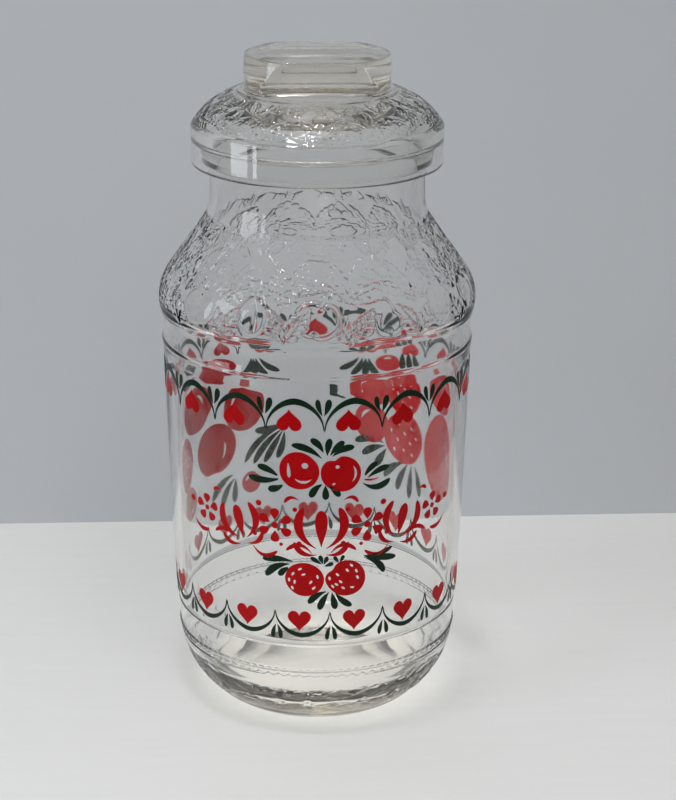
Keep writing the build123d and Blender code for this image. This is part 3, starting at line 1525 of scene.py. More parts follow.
    def heel_relief(self) -> Relief:
        """Returns the overlapping leaves that are pressed round the heel.

        Returns:
            The relief of the band.
        """
        source = np.random.default_rng(5)
        forms: list[Placement] = []
        for step in range(self.heel_count):
            azimuth = TURN * (step + source.uniform(-0.2, 0.2)) / self.heel_count
            for level, size in ((9.0, 7.6), (20.5, 7.4)):
                turn = math.pi / 2.0 + source.uniform(-0.55, 0.55)
                shift = source.uniform(-0.05, 0.05) + (0.11 if level > 15.0 else 0.0)
                forms.append(Placement(Leaf(0.45), azimuth + shift, level * MM, size * MM, turn, 0.9))
            forms.append(Placement(TRIO, azimuth + 0.12, 14.0 * MM, 2.8 * MM, 0.0, 0.9))
        return Relief(self.relief_depth, 2.5 * MM, forms, 0.1 * MM)

    def build(self) -> Piece:
        """Builds the glass of the jar.

        Returns:
            The new object.
        """
        outer, inner = self.outside(), self.inside()
        start, end = tuple(outer.points[0]), tuple(outer.points[-1])
        heel_foot, heel_head, bead_foot, bead_head = (
            self.at_height(outer.points, level, self.bearing_radius)
            for level in (self.heel_relief_start, self.heel_relief_stop, self.bead_start, self.bead_stop)
        )
        fruit_foot = self.at_height(outer.points, self.roll_edge_level + self.relief_start, 60.0 * MM)
        fruit_head = self.at_height(outer.points, self.relief_stop, 40.0 * MM)
        mouth = SectionPath(outer.points[-6:]).then(inner.points, 1.3 * MM).points[1:-1]
        fine, half, quarter = self.fine_columns, self.fine_columns // 2, self.fine_columns // 4
        bead_rows = outer.between(bead_foot, bead_head)
        bands = [
            Band(spaced(outer.between(start, heel_foot), self.plain_step)[1:], quarter),
            Band(spaced(outer.between(heel_foot, heel_head), self.heel_step), half, self.heel_relief()),
            Band(spaced(outer.between(heel_head, bead_foot), 1.2 * MM), half),
            Band(spaced(bead_rows, self.bead_step), fine, self.bead_row(bead_rows)),
            Band(spaced(outer.between(bead_head, fruit_foot), self.plain_step), half),
            Band(spaced(outer.between(fruit_foot, fruit_head), self.row_step), fine, self.shoulder_relief()),
            Band(spaced(outer.between(fruit_head, end), 3.0 * MM), half),
            Band(spaced(mouth, 3.5 * MM), quarter, Waviness(0.14 * MM, 12.0 * MM)),
        ]
        skin = Skin("jar_glass")
        skin.weave(skin.rings_of(bands))
        made = skin.finished(math.radians(50.0))
        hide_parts("jar")
        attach(made, "jar")
        return made

    @staticmethod
    def at_height(points: Array, height: float, beyond: float) -> Point:
        """Finds the place on the walk at a height.

        Args:
            points: Rows of radius and height.
            height: The height.
            beyond: Least radius that the place may have.

        Returns:
            Radius and height of the nearest row.
        """
        distance = np.abs(points[:, 1] - height) + np.where(points[:, 0] < beyond, 1.0, 0.0)
        found = points[int(np.argmin(distance))]
        return float(found[0]), float(found[1])

    def bead_row(self, rows: Array) -> BeadRow:
        """Returns the dashes and arcs of the heel's bead.

        Args:
            rows: The stretch of skin that carries them.

        Returns:
            The relief of that stretch.
        """
        along = SectionPath.lengths(rows)
        crest = float(np.interp(self.heel_level, rows[:, 1], along))
        dashes = (crest - self.dash_half, crest + self.dash_half)
        arcs = (crest - self.arc_reach[0], crest - self.arc_reach[1])
        return BeadRow(self.bead_depth, 1.0 * MM, dash_band=dashes, arc_band=arcs)

    def dress(self, glass: Piece, finish: GlassFinish) -> None:
        """Gives the jar its glass."""
        glass.data.materials.append(finish.material())


# The lid


@dataclass
class Lid:
    """The glass lid: skirt, seat, domed shoulder with its wreath of leaves, and the knob."""

    seat_level: float = 253.3 * MM
    seat_radius: float = 44.2 * MM
    skirt_inner: float = 50.7 * MM
    skirt_radius: float = 54.05 * MM
    skirt_level: float = 243.3 * MM
    skirt_round: float = 1.5 * MM
    dome_level: float = 259.8 * MM
    dome_top: float = 275.1 * MM
    dome_bulge: float = 3.0 * MM
    shoulder_round: float = 1.2 * MM
    foot_radius: float = 31.1 * MM
    disc_level: float = 281.1 * MM
    knob_radius: float = 31.5 * MM
    knob_top_radius: float = 31.0 * MM
    top_level: float = 290.0 * MM
    knob_edge: float = 0.8 * MM
    ceiling: float = 270.1 * MM
    ceiling_corner: float = 261.9 * MM
    ceiling_draft: float = 0.8 * MM
    ceiling_round: float = 5.0 * MM
    grip_top: float = 27.9 * MM
    grip_low: float = 22.6 * MM
    scoop: float = 19.0 * MM
    scoop_round: float = 2.0 * MM
    scoop_slope: float = 0.8 * MM
    wreath_start: float = 53.2 * MM
    wreath_stop: float = 33.4 * MM
    relief_depth: float = 0.45 * MM
    wreath_count: int = 14
    flat_power: float = 90.0
    columns: int = 640
    row_step: float = 0.5 * MM

    def under(self) -> SectionPath:
        """Returns the section from the middle of the ceiling to the outer foot of the skirt.

        Returns:
            The path.
        """
        corner_radius = self.seat_radius - self.ceiling_draft
        rise = self.ceiling - self.ceiling_corner
        sphere = (corner_radius**2 + rise * rise) / (2.0 * rise)
        reach = math.asin(corner_radius / sphere)
        ceiling = arc((0.0, self.ceiling - sphere), sphere, math.pi / 2.0, math.pi / 2.0 - reach, 120)
        path = SectionPath(ceiling)
        path.line_to((self.seat_radius, self.seat_level), self.ceiling_round)
        path.line_to((self.skirt_inner, self.seat_level), 0.8 * MM)
        path.line_to((self.skirt_inner, self.skirt_level), 0.4 * MM)
        return path.line_to((self.skirt_radius, self.skirt_level), self.skirt_round)

    def over(self) -> SectionPath:
        """Returns the section from the foot of the skirt up to the end of the dome.

        Returns:
            The path.
        """
        shoulder = (self.skirt_radius, self.dome_level)
        dome = bulged(shoulder, (self.foot_radius, self.dome_top), self.dome_bulge, 400)
        path = SectionPath(straight((self.skirt_inner + 2.0 * MM, self.skirt_level),
                                    (self.skirt_radius, self.skirt_level)))
        return path.line_to(shoulder, self.skirt_round).then(dome, self.shoulder_round)

    def wreath(self, length: float) -> Relief:
        """Returns the leaves and berries that are pressed round the dome.

        Args:
            length: Length of the band, from its lower edge up to the knob.

        Returns:
            The relief of the band.
        """
        source = np.random.default_rng(23)
        forms: list[Placement] = []
        pitch = TURN / self.wreath_count
        for step in range(self.wreath_count):
            azimuth = (step + source.uniform(-0.1, 0.1)) * pitch
            gap = azimuth + 0.5 * pitch
            forms.append(Placement(Tendril(0.16, 3.0, 0.05), gap, 0.2 * length, 11.5 * MM, math.pi / 2.0))
            forms += leaf_fan((gap, 0.6 * length), 40.0 * MM, 4.2 * MM, (0.5, -0.6), 0.42)
            turns = [turn + source.uniform(-0.08, 0.08) for turn in (1.5, -1.45, 0.85, -0.8)]
            forms += leaf_fan((azimuth, 0.14 * length), 49.0 * MM, source.uniform(5.8, 6.6) * MM, turns, 0.36)
            forms.append(Placement(TRIO, azimuth, 0.8 * length, 2.5 * MM, 0.5 * step))
            fruit = (Apple(), Plum(), Strawberry())[step % 3]
            forms.append(Placement(fruit, azimuth, 0.5 * length, 4.2 * MM, source.uniform(-0.4, 0.4)))
        return Relief(self.relief_depth, 1.4 * MM, forms, 0.06 * MM)

    def knob_rows(self) -> list[tuple[float, float, float, float]]:
        """Lists the rows of the knob.

        Returns:
            Radius and height of each row on the round side, then how far out and how high its flat is.
        """
        foot, disc, top = self.foot_radius, self.disc_level, self.top_level
        floor, low = self.dome_top, self.grip_low
        rows: list[tuple[float, float, float, float]] = []
        fillet = 1.3 * MM
        reaches = (30.6, 28.0, 25.0, 22.2, 20.3)
        for index, reach in enumerate(reaches):
            angle = math.radians(15.0 + 75.0 * index / (len(reaches) - 1))
            radius = foot + fillet * (1.0 - math.sin(angle))
            height = floor + fillet * (1.0 - math.cos(angle)) - 0.25 * MM
            rows.append((radius, height, reach * MM, floor + 0.02 * MM * index))
        for share in (0.3, 0.6, 1.0):
            angle = share * math.pi / 2.0
            back = self.scoop + self.scoop_round * (1.0 - math.sin(angle))
            up = self.scoop_round * (1.0 - math.cos(angle))
            rows.append((foot, floor + (1.2 + 1.2 * share) * MM, back, floor + 0.1 * MM + up))
        under = disc - self.scoop_slope
        for share in (0.25, 0.5, 0.75, 1.0):
            angle = share * math.pi / 2.0
            back = self.scoop + self.scoop_round * (1.0 - math.cos(angle))
            up = under - self.scoop_round * (1.0 - math.sin(angle))
            rows.append((foot, floor + (2.8 + 2.9 * share) * MM, back, up))
        rows.append((foot, disc - 0.12 * MM, low - 0.4 * MM, disc - 0.1 * MM))
        rows.append((foot + 0.1 * MM, disc - 0.02 * MM, low - 0.08 * MM, disc))
        rows.append((self.knob_radius - 0.1 * MM, disc + 0.02 * MM, low, disc + 0.08 * MM))
        rows.append((self.knob_radius, disc + 0.14 * MM, low + 0.1 * MM, disc + 0.25 * MM))
        edge = self.knob_edge
        for share in np.linspace(0.12, 1.0, 7):
            height = disc + share * (top - edge - disc)
            slant = self.knob_radius + (self.knob_top_radius - self.knob_radius) * share
            flat = low + (self.grip_top - low) * (height - disc) / (top - disc)
            rows.append((slant, float(height), flat, float(height)))
        for share in (0.25, 0.5, 0.75, 1.0):
            angle = share * math.pi / 2.0
            inset = edge * (1.0 - math.cos(angle))
            rise = edge * math.sin(angle)
            flat = self.grip_top - 0.45 * MM - inset
            rows.append((self.knob_top_radius - inset, top - edge + rise, flat, top - edge + rise))
        last_radius, _, last_flat, _ = rows[-1]
        for share in (0.985, 0.94, 0.88, 0.8, 0.7, 0.58, 0.45, 0.32, 0.2, 0.1):
            sag = 0.12 * MM * math.sin(share * 16.0) ** 2
            rows.append((last_radius * share, top - sag, last_flat * share, top - sag))
        return rows

    def knob_rings(self) -> list[Array]:
        """Returns the rings of the knob, with its two flat faces and finger scoops cut in.

        Returns:
            The rings in order.
        """
        power = self.flat_power
        azimuths = full_turn(self.columns)
        facing = np.maximum(np.abs(np.cos(azimuths)), 1e-3)
        rings = []
        for radius, height, flat, flat_height in self.knob_rows():
            reach = flat / facing
            scale = min(radius, flat)
            together = scale * ((radius / scale) ** -power + (reach / scale) ** -power) ** (-1.0 / power)
            cut = smooth_step((radius - reach) / (0.5 * MM) + 0.5)
            rings.append(ring_at(together, height + cut * (flat_height - height), azimuths))
        return rings

    def build(self) -> Piece:
        """Builds the glass of the lid.

        Returns:
            The new object.
        """
        under, over = self.under(), self.over()
        fine, half = self.columns, self.columns // 2
        rows = over.points
        start, end = tuple(rows[0]), tuple(rows[-1])
        dome = rows[rows[:, 1] > self.dome_level]
        foot = tuple(dome[int(np.argmin(np.abs(dome[:, 0] - self.wreath_start)))])
        head = tuple(dome[int(np.argmin(np.abs(dome[:, 0] - self.wreath_stop)))])
        carved = spaced(over.between(foot, head), self.row_step)
        below = under.between(tuple(under.points[0]), start)
        bands = [
            Band(spaced(below, 3.0 * MM)[1:], half, Waviness(0.1 * MM, 6.0 * MM, seed=8)),
            Band(spaced(over.between(start, foot), 2.2 * MM), half),
            Band(carved, fine, self.wreath(float(SectionPath.lengths(carved)[-1]))),
            Band(spaced(over.between(head, (self.foot_radius + 1.5 * MM, 0.9999 * self.dome_top)), 0.8 * MM),
                 fine),
        ]
        skin = Skin("lid_glass")
        skin.weave(skin.rings_of(bands) + self.knob_rings())
        made = skin.finished(math.radians(42.0))
        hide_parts("lid")
        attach(made, "lid")
        return made

    def dress(self, glass: Piece, finish: GlassFinish) -> None:
        """Gives the lid its glass."""
        glass.data.materials.append(finish.material())


# The print


@dataclass
class ScallopBorder:
    """A line of arches round the body with a heart in each and a pair of strokes at each cusp.

    Args:
        hanging: Whether the arches hang down, as they do along the lower edge.
        cusp: Height where the legs of the arches end.
        outer: Height of the outer edge of each crown.
        inner: Height of the inner edge of each crown.
        first: Azimuth in degrees of one cusp.
        heart_level: Height of the middle of the hearts.
        heart_size: Width and height of the hearts.
        heart_shift: How far the hearts stand to the left of the middle of their arches.
        stroke_level: Heights of the root and the tip of the strokes.
        stroke_spread: How far the tips stand from the cusp.
        stroke_shift: How far both strokes stand to the right of the cusp.
        stroke_width: Width of the left and the right stroke.
        repeats: How many arches go round.
        spike: Length by which the cusps run on past the legs.
    """

    hanging: bool
    cusp: float
    outer: float
    inner: float
    first: float
    heart_level: float
    heart_size: Point
    heart_shift: float
    stroke_level: Point
    stroke_spread: float
    stroke_shift: float
    stroke_width: Point
    repeats: int = 17
    spike: float = 1.4 * MM

    def marks(self, radius: float) -> list[Mark]:
        """Lists the marks of the border.

        Args:
            radius: Radius that turns an azimuth into a flat distance.

        Returns:
            The marks.
        """
        pitch = TURN * radius / self.repeats
        begin = math.radians(self.first) * radius
        marks = []
        for repeat in range(self.repeats):
            cusp_at = begin + repeat * pitch
            middle = cusp_at + pitch / 2.0
            arch = scallop(middle, pitch, self.cusp, self.outer, self.inner, self.spike)
            marks.append(Mark(Ink.GREEN, arch))
            centre = (middle - self.heart_shift, self.heart_level)
            marks.append(Mark(Ink.RED, heart(centre, *self.heart_size, upright=self.hanging)))
            for side, width in zip((-1.0, 1.0), self.stroke_width):
                foot = cusp_at + self.stroke_shift
                root = (foot + side * 0.4 * MM, self.stroke_level[0])
                tip = (foot + side * self.stroke_spread, self.stroke_level[1])
                bend = side * (0.06 if self.hanging else -0.06)
                marks.append(Mark(Ink.GREEN, drop(root, tip, width, bend)))
        return marks


Stroke = tuple[float, ...]


@dataclass
class Panel:
    """A picture of the print.

    Args:
        radius: Radius that turns an azimuth into a flat distance.
    """

    radius: float
    boldness = 1.16

    def at(self, azimuth: float, height: float) -> Point:
        """Returns the flat place of an azimuth in degrees and a height in millimetres."""
        return math.radians(azimuth) * self.radius, height * MM

    def strokes(self, rows: Sequence[Stroke]) -> list[Mark]:
        """Returns green strokes.

        Args:
            rows: For each stroke the azimuths in degrees and heights in millimetres of its root
                and its tip, its width in millimetres, its bend and, if it isn't sharp, the width
                of its root.

        Returns:
            One mark for each stroke.
        """
        marks = []
        for root_at, root_up, tip_at, tip_up, width, bend, *rest in rows:
            root_width = rest[0] if rest else 0.3
            outline = drop(self.at(root_at, root_up), self.at(tip_at, tip_up), self.boldness * width * MM,
                           bend, root_width * MM)
            marks.append(Mark(Ink.GREEN, outline))
        return marks

    def seeds(self, centre: Point, places: Sequence[Triple]) -> list[Array]:
        """Returns the unprinted seeds of one berry.

        Args:
            centre: Middle of the berry.
            places: For each seed its place from the middle in millimetres and its turn.

        Returns:
            Small oval outlines.
        """
        return [oval(self.near(centre, x, y), 0.95 * MM, 0.5 * MM, turn, 14) for x, y, turn in places]

    def near(self, centre: Point, across: float, up: float) -> Point:
        """Returns the flat place that lies so many millimetres from a centre."""
        return centre[0] + across * MM, centre[1] + up * MM


@dataclass
class CherryPanel(Panel):
    """Two round red fruits side by side, with sprays of strokes round them."""

    def marks(self) -> list[Mark]:
        """Lists the marks of the panel.

        Returns:
            The marks.
        """
        left, right = self.at(-8.0, 126.5), self.at(7.1, 125.2)
        shine_left = [
            drop(self.near(left, -4.6, 3.4), self.near(left, -4.2, -3.2), 1.5 * MM),
            oval(self.near(left, 2.3, 2.4), 1.35 * MM, 1.3 * MM, 0.0, 20),
            crescent(self.near(left, 1.6, -0.5), 4.6 * MM, -2.4, -0.75, 1.1 * MM),
        ]
        shine_right = [
            oval(self.near(right, -1.5, 3.1), 0.85 * MM, 0.8 * MM, 0.0, 16),
            crescent(self.near(right, 0.6, -0.2), 5.5 * MM, -0.75, 0.65, 0.9 * MM),
            oval(self.near(right, -3.0, -4.6), 0.75 * MM, 0.45 * MM, 0.4, 14),
        ]
        left_edge = lumpy(left, (8.2 * MM, 8.3 * MM), [(2.2, 0.05, 0.7), (0.8, -0.05, 0.5), (5.6, 0.02, 0.6)])
        right_edge = lumpy(right, (8.3 * MM, 7.9 * MM), [(1.95, -0.19, 0.26), (2.7, 0.03, 0.5),
                                                         (5.2, 0.06, 0.6)])
        marks = [Mark(Ink.RED, left_edge, shine_left), Mark(Ink.RED, right_edge, shine_right)]
        marks.append(Mark(Ink.RED, drop(self.at(21.4, 121.8), self.at(15.6, 121.8), 0.9 * MM, 0.08)))
        return marks + self.strokes((
            (0.0, 132.3, -10.9, 138.0, 2.6, -0.10), (0.6, 134.9, -4.0, 140.9, 2.5, -0.10),
            (2.1, 133.5, 3.1, 141.1, 2.5, 0.04), (3.2, 133.6, 8.2, 139.6, 2.4, 0.06),
            (4.0, 133.1, 11.9, 136.8, 2.6, 0.12), (-16.1, 123.8, -23.7, 127.3, 2.6, -0.08, 0.8),
            (-15.8, 122.3, -27.3, 122.2, 2.7, 0.08, 0.8), (-14.2, 119.7, -19.7, 117.5, 2.7, 0.10, 0.8),
            (16.0, 123.6, 20.8, 128.8, 2.3, 0.08, 0.7), (17.1, 122.4, 25.6, 126.3, 2.4, 0.08),
            (15.2, 120.2, 26.0, 120.6, 2.6, -0.22), (0.1, 120.5, -3.8, 114.5, 2.6, -0.12, 0.7),
            (1.4, 120.0, 1.6, 113.5, 2.5, 0.0), (2.8, 119.7, 6.7, 114.8, 2.3, 0.05, 0.6),
        ))


@dataclass
class StrawberryPanel(Panel):
    """Two berries with their seeds left unprinted, and sprays of strokes round them."""

    def marks(self) -> list[Mark]:
        """Lists the marks of the panel.

        Returns:
            The marks.
        """
        left, right = self.at(-6.3, 76.4), self.at(9.3, 76.6)
        left_seeds = ((-1.9, 4.9, 0.5), (-4.9, 2.6, 1.0), (-0.4, 2.4, 0.3), (-6.6, -0.3, 1.6),
                      (-4.2, -1.2, 1.5), (5.6, 1.4, 1.8), (2.7, -1.2, 0.9), (-5.2, -4.0, 2.0),
                      (4.0, -3.9, 0.7))
        right_seeds = ((2.4, 6.0, 2.3), (0.6, 3.8, 2.3), (4.6, 3.2, 2.0), (-3.6, 2.0, 2.3), (-7.0, 0.4, 1.8),
                       (5.2, 0.1, 2.0), (-2.2, -1.4, 2.4), (-4.0, -2.6, 2.5), (-5.6, -3.4, 2.2),
                       (-1.1, -4.4, 2.6), (2.9, -4.4, 3.0))
        left_lumps = ((0.95, -0.02, 0.5), (3.9, -0.05, 0.7), (2.3, 0.02, 0.5))
        right_lumps = ((2.45, -0.15, 0.3), (1.3, 0.05, 0.6), (3.1, 0.03, 0.3), (4.0, -0.05, 0.5),
                       (5.6, 0.03, 0.5))
        left_edge = lumpy(left, (8.4 * MM, 7.9 * MM), left_lumps)
        right_edge = lumpy(right, (8.6 * MM, 8.2 * MM), right_lumps)
        marks = [
            Mark(Ink.RED, left_edge, self.seeds(left, left_seeds)),
            Mark(Ink.RED, right_edge, self.seeds(right, right_seeds)),
        ]
        return marks + self.strokes((
            (-10.6, 84.7, -22.4, 84.7, 2.6, -0.06), (-11.8, 83.4, -21.1, 76.8, 2.9, -0.14),
            (-12.4, 81.6, -15.9, 77.6, 2.4, -0.08, 1.0), (16.0, 86.6, 27.8, 88.8, 1.9, -0.10),
            (16.2, 85.8, 29.6, 83.6, 2.7, 0.0), (17.1, 84.9, 24.6, 77.2, 2.6, 0.14),
            (1.9, 70.8, -4.8, 65.1, 2.6, -0.10), (2.9, 70.4, -0.7, 62.1, 2.6, -0.06),
            (4.1, 70.2, 5.5, 62.3, 2.6, 0.0), (5.4, 70.2, 11.9, 63.5, 2.5, -0.08),
            (0.1, 83.8, -4.0, 87.0, 1.7, 0.0), (0.6, 83.9, -0.6, 87.9, 1.7, 0.0),
            (1.0, 83.7, 2.4, 87.3, 1.6, 0.0), (1.3, 82.9, 4.6, 84.1, 1.6, 0.0),
            (6.5, 84.5, 4.7, 87.2, 1.5, 0.0), (7.1, 84.5, 8.5, 87.6, 1.4, 0.0),
        ))


@dataclass
class Garland(Panel):
    """A red garland of tulips, rosettes and scrolls across the middle of the front."""

    def flat(self, across: float, height: float) -> Point:
        """Returns the flat place of a distance and a height, both in millimetres."""
        return across * MM, height * MM

    def rosette(self, centre: Point, size: float, petals: int, share: float) -> list[Mark]:
        """Returns a flower of separate petals round a dot.

        Args:
            centre: Its middle.
            size: Its radius.
            petals: How many petals it has.
            share: Width of a petal as a share of the radius.

        Returns:
            The marks.
        """
        marks = [Mark(Ink.RED, oval(centre, size * 0.19, size * 0.19, 0.0, 18))]
        for petal in range(petals):
            angle = math.pi / 2.0 + TURN * petal / petals
            way = np.array([math.cos(angle), math.sin(angle)])
            root, tip = np.add(centre, way * size * 0.32), np.add(centre, way * size)
            marks.append(Mark(Ink.RED, drop(tuple(root), tuple(tip), size * share)))
        return marks

    def tulip(self, foot: Point, size: float, turn: float) -> list[Mark]:
        """Returns a tulip of one middle petal between two that curl out, on two low leaves.

        Args:
            foot: Where the petals meet.
            size: Its height.
            turn: How far it leans to the left, in radians.

        Returns:
            The marks.
        """
        rows = [(0.0, 0.1, 0.0, 0.92, 0.26, 0.0)]
        for side in (-1.0, 1.0):
            rows.append((side * 0.1, 0.06, side * 0.36, 0.98, 0.19, side * -0.24))
            rows.append((side * 0.1, -0.08, side * 0.56, 0.2, 0.12, side * -0.22))
        marks = []
        for root_x, root_y, tip_x, tip_y, width, bend in rows:
            ends = turned_flat(np.array([[root_x, root_y], [tip_x, tip_y]]) * size, foot, turn)
            marks.append(Mark(Ink.RED, drop(tuple(ends[0]), tuple(ends[1]), width * size, bend)))
        return marks

    def marks(self) -> list[Mark]:
        """Lists the marks of the garland.

        Returns:
            The marks.
        """
        marks = self.tulip(self.flat(0.0, 89.8), 20.5 * MM, 0.0)
        for side in (-1.0, 1.0):
            marks += self.rosette(self.flat(side * 19.6, 101.0), 7.8 * MM, 6, 0.5)
            marks += self.tulip(self.flat(side * 34.0, 91.8), 17.5 * MM, -side * 0.22)
            marks += self.rosette(self.flat(side * 53.5, 102.2), 6.4 * MM, 5, 0.62)
            for root_x, root_y, tip_x, tip_y, width, bend in (
                (4.0, 88.8, 15.0, 89.6, 2.0, -0.3), (29.5, 90.2, 18.5, 89.2, 2.0, -0.3),
                (38.5, 92.0, 49.0, 92.6, 2.0, -0.26), (62.0, 95.0, 52.6, 92.2, 2.0, -0.2),
                (9.4, 113.2, 15.4, 111.6, 1.7, -0.3), (45.0, 112.0, 49.0, 111.4, 1.6, -0.3),
            ):
                ends = self.flat(side * root_x, root_y), self.flat(side * tip_x, tip_y)
                marks.append(Mark(Ink.RED, drop(*ends, width * MM, -side * bend)))
            for x, y, size in ((9.3, 93.2, 1.1), (11.0, 108.8, 1.0), (26.6, 110.4, 1.3), (28.6, 96.0, 1.0),
                               (44.6, 99.0, 1.1), (63.0, 104.0, 1.4), (17.0, 92.4, 0.8)):
                marks.append(Mark(Ink.RED, oval(self.flat(side * x, y), size * MM, size * MM, 0.0, 18)))
        return marks


@dataclass
class FruitBunch(Panel):
    """A large bunch of fruit on the back of the body, seen through the glass from the front.

    Args:
        fruits: For each round fruit its azimuth in degrees, its height, its half width and its half
            height in millimetres and the angle of its shine.
        berries: The same without the shine for each berry with seeds.
        sprays: The strokes, as Panel.strokes takes them.
    """

    fullness = 1.13
    seed_grid = ((-0.62, 0.1), (-0.34, 0.44), (-0.3, -0.16), (-0.42, -0.6), (0.0, 0.16), (0.04, -0.5),
                 (0.3, 0.5), (0.34, -0.14), (0.66, 0.16), (0.5, -0.56))
    fruits: Sequence[Stroke] = ()
    berries: Sequence[Stroke] = ()
    sprays: Sequence[Stroke] = ()

    def fruit(self, azimuth: float, height: float, wide: float, tall: float, shine: float) -> Mark:
        """Returns one round fruit with a crescent left unprinted.

        Args:
            azimuth: Angle of its middle, in degrees.
            height: Height of its middle, in millimetres.
            wide: Half width, in millimetres.
            tall: Half height, in millimetres.
            shine: Angle of the crescent, in radians.

        Returns:
            The mark.
        """
        centre = self.at(azimuth, height)
        wide, tall = wide * self.fullness, tall * self.fullness
        edge = lumpy(centre, (wide * MM, tall * MM), [(shine + 1.4, -0.1, 0.3), (shine + 3.6, 0.05, 0.6)])
        reach = min(wide, tall) * 0.6 * MM
        return Mark(Ink.RED, edge, [crescent(centre, reach, shine - 0.6, shine + 0.6, 1.3 * MM)])

    def berry(self, azimuth: float, height: float, wide: float, tall: float) -> Mark:
        """Returns one berry with its seeds left unprinted.

        Args:
            azimuth: Angle of its middle, in degrees.
            height: Height of its middle, in millimetres.
            wide: Half width, in millimetres.
            tall: Half height, in millimetres.

        Returns:
            The mark.
        """
        centre = self.at(azimuth, height)
        wide, tall = wide * self.fullness, tall * self.fullness
        edge = lumpy(centre, (wide * MM, tall * MM), [(1.4, -0.12, 0.35), (4.7, 0.06, 0.7)])
        places = [(x * wide, y * tall, 0.8 + x) for x, y in self.seed_grid]
        return Mark(Ink.RED, edge, self.seeds(centre, places))

    def marks(self) -> list[Mark]:
        """Lists the marks of the bunch."""
        marks = [self.fruit(*row) for row in self.fruits] + [self.berry(*row) for row in self.berries]
        return marks + self.strokes(self.sprays)


LEFT_BUNCH = (
    ((-117.5, 119.4, 12.6, 9.6, 2.4), (-147.6, 112.4, 10.8, 10.4, 0.6), (-130.5, 95.6, 13.0, 11.0, 3.4),
     (-151.2, 74.6, 4.9, 4.5, 0.9), (-134.5, 135.0, 11.8, 6.6, 2.0), (-107.0, 78.0, 7.6, 6.8, 4.0)),
    ((-103.6, 98.6, 8.8, 11.0),),
    ((-166.4, 99.0, -148.0, 84.4, 3.0, 0.1), (-166.4, 97.8, -152.6, 83.0, 3.0, 0.06),
     (-166.6, 97.0, -158.0, 82.8, 3.0, 0.0), (-167.4, 96.6, -164.0, 84.0, 3.0, -0.06),
     (-167.0, 101.0, -153.6, 99.2, 3.2, -0.1), (-141.4, 80.4, -127.4, 71.4, 3.6, 0.1),
     (-142.0, 78.4, -134.0, 66.0, 3.4, 0.1), (-142.8, 78.0, -141.6, 66.6, 3.2, 0.0),
     (-153.4, 140.6, -148.6, 127.0, 3.4, -0.08), (-154.4, 140.4, -154.4, 126.0, 3.4, 0.0),
     (-155.6, 140.4, -160.4, 127.0, 3.4, 0.08), (-157.2, 140.8, -166.0, 130.6, 3.2, 0.1),
     (-118.0, 138.6, -108.0, 142.6, 3.4, -0.1), (-117.6, 135.4, -104.0, 135.4, 3.6, -0.1)),
)
RIGHT_BUNCH = (
    ((153.6, 103.2, 8.2, 8.6, 0.8), (154.6, 119.2, 9.6, 7.0, 0.6), (108.6, 98.6, 14.6, 18.0, 2.8),
     (111.0, 128.8, 11.2, 8.6, 2.0), (147.4, 137.6, 6.0, 5.2, 1.4)),
    ((136.4, 99.2, 10.8, 10.6), (137.4, 121.0, 9.8, 9.4)),
    ((147.4, 94.0, 161.4, 92.6, 3.2, 0.1), (146.8, 92.6, 158.0, 86.6, 3.2, 0.06),
     (146.0, 91.4, 151.6, 81.8, 3.2, 0.0), (136.4, 87.0, 147.0, 77.6, 3.2, 0.1),
     (134.4, 86.6, 140.0, 72.6, 3.2, 0.06), (132.0, 86.6, 132.6, 70.4, 3.2, 0.0),
     (129.6, 87.0, 125.4, 73.4, 3.2, -0.06), (156.6, 140.6, 151.4, 127.6, 3.4, 0.08),
     (158.0, 140.4, 157.6, 127.0, 3.2, 0.0), (159.4, 140.6, 163.8, 127.6, 3.2, -0.08),
     (161.0, 141.0, 169.0, 131.8, 3.2, -0.1), (140.6, 146.0, 139.6, 133.4, 3.2, 0.04),
     (137.8, 146.4, 135.4, 133.6, 3.2, 0.04), (135.0, 146.4, 130.6, 134.4, 3.2, 0.06),
     (166.0, 113.0, 172.6, 119.4, 3.0, -0.1)),
)


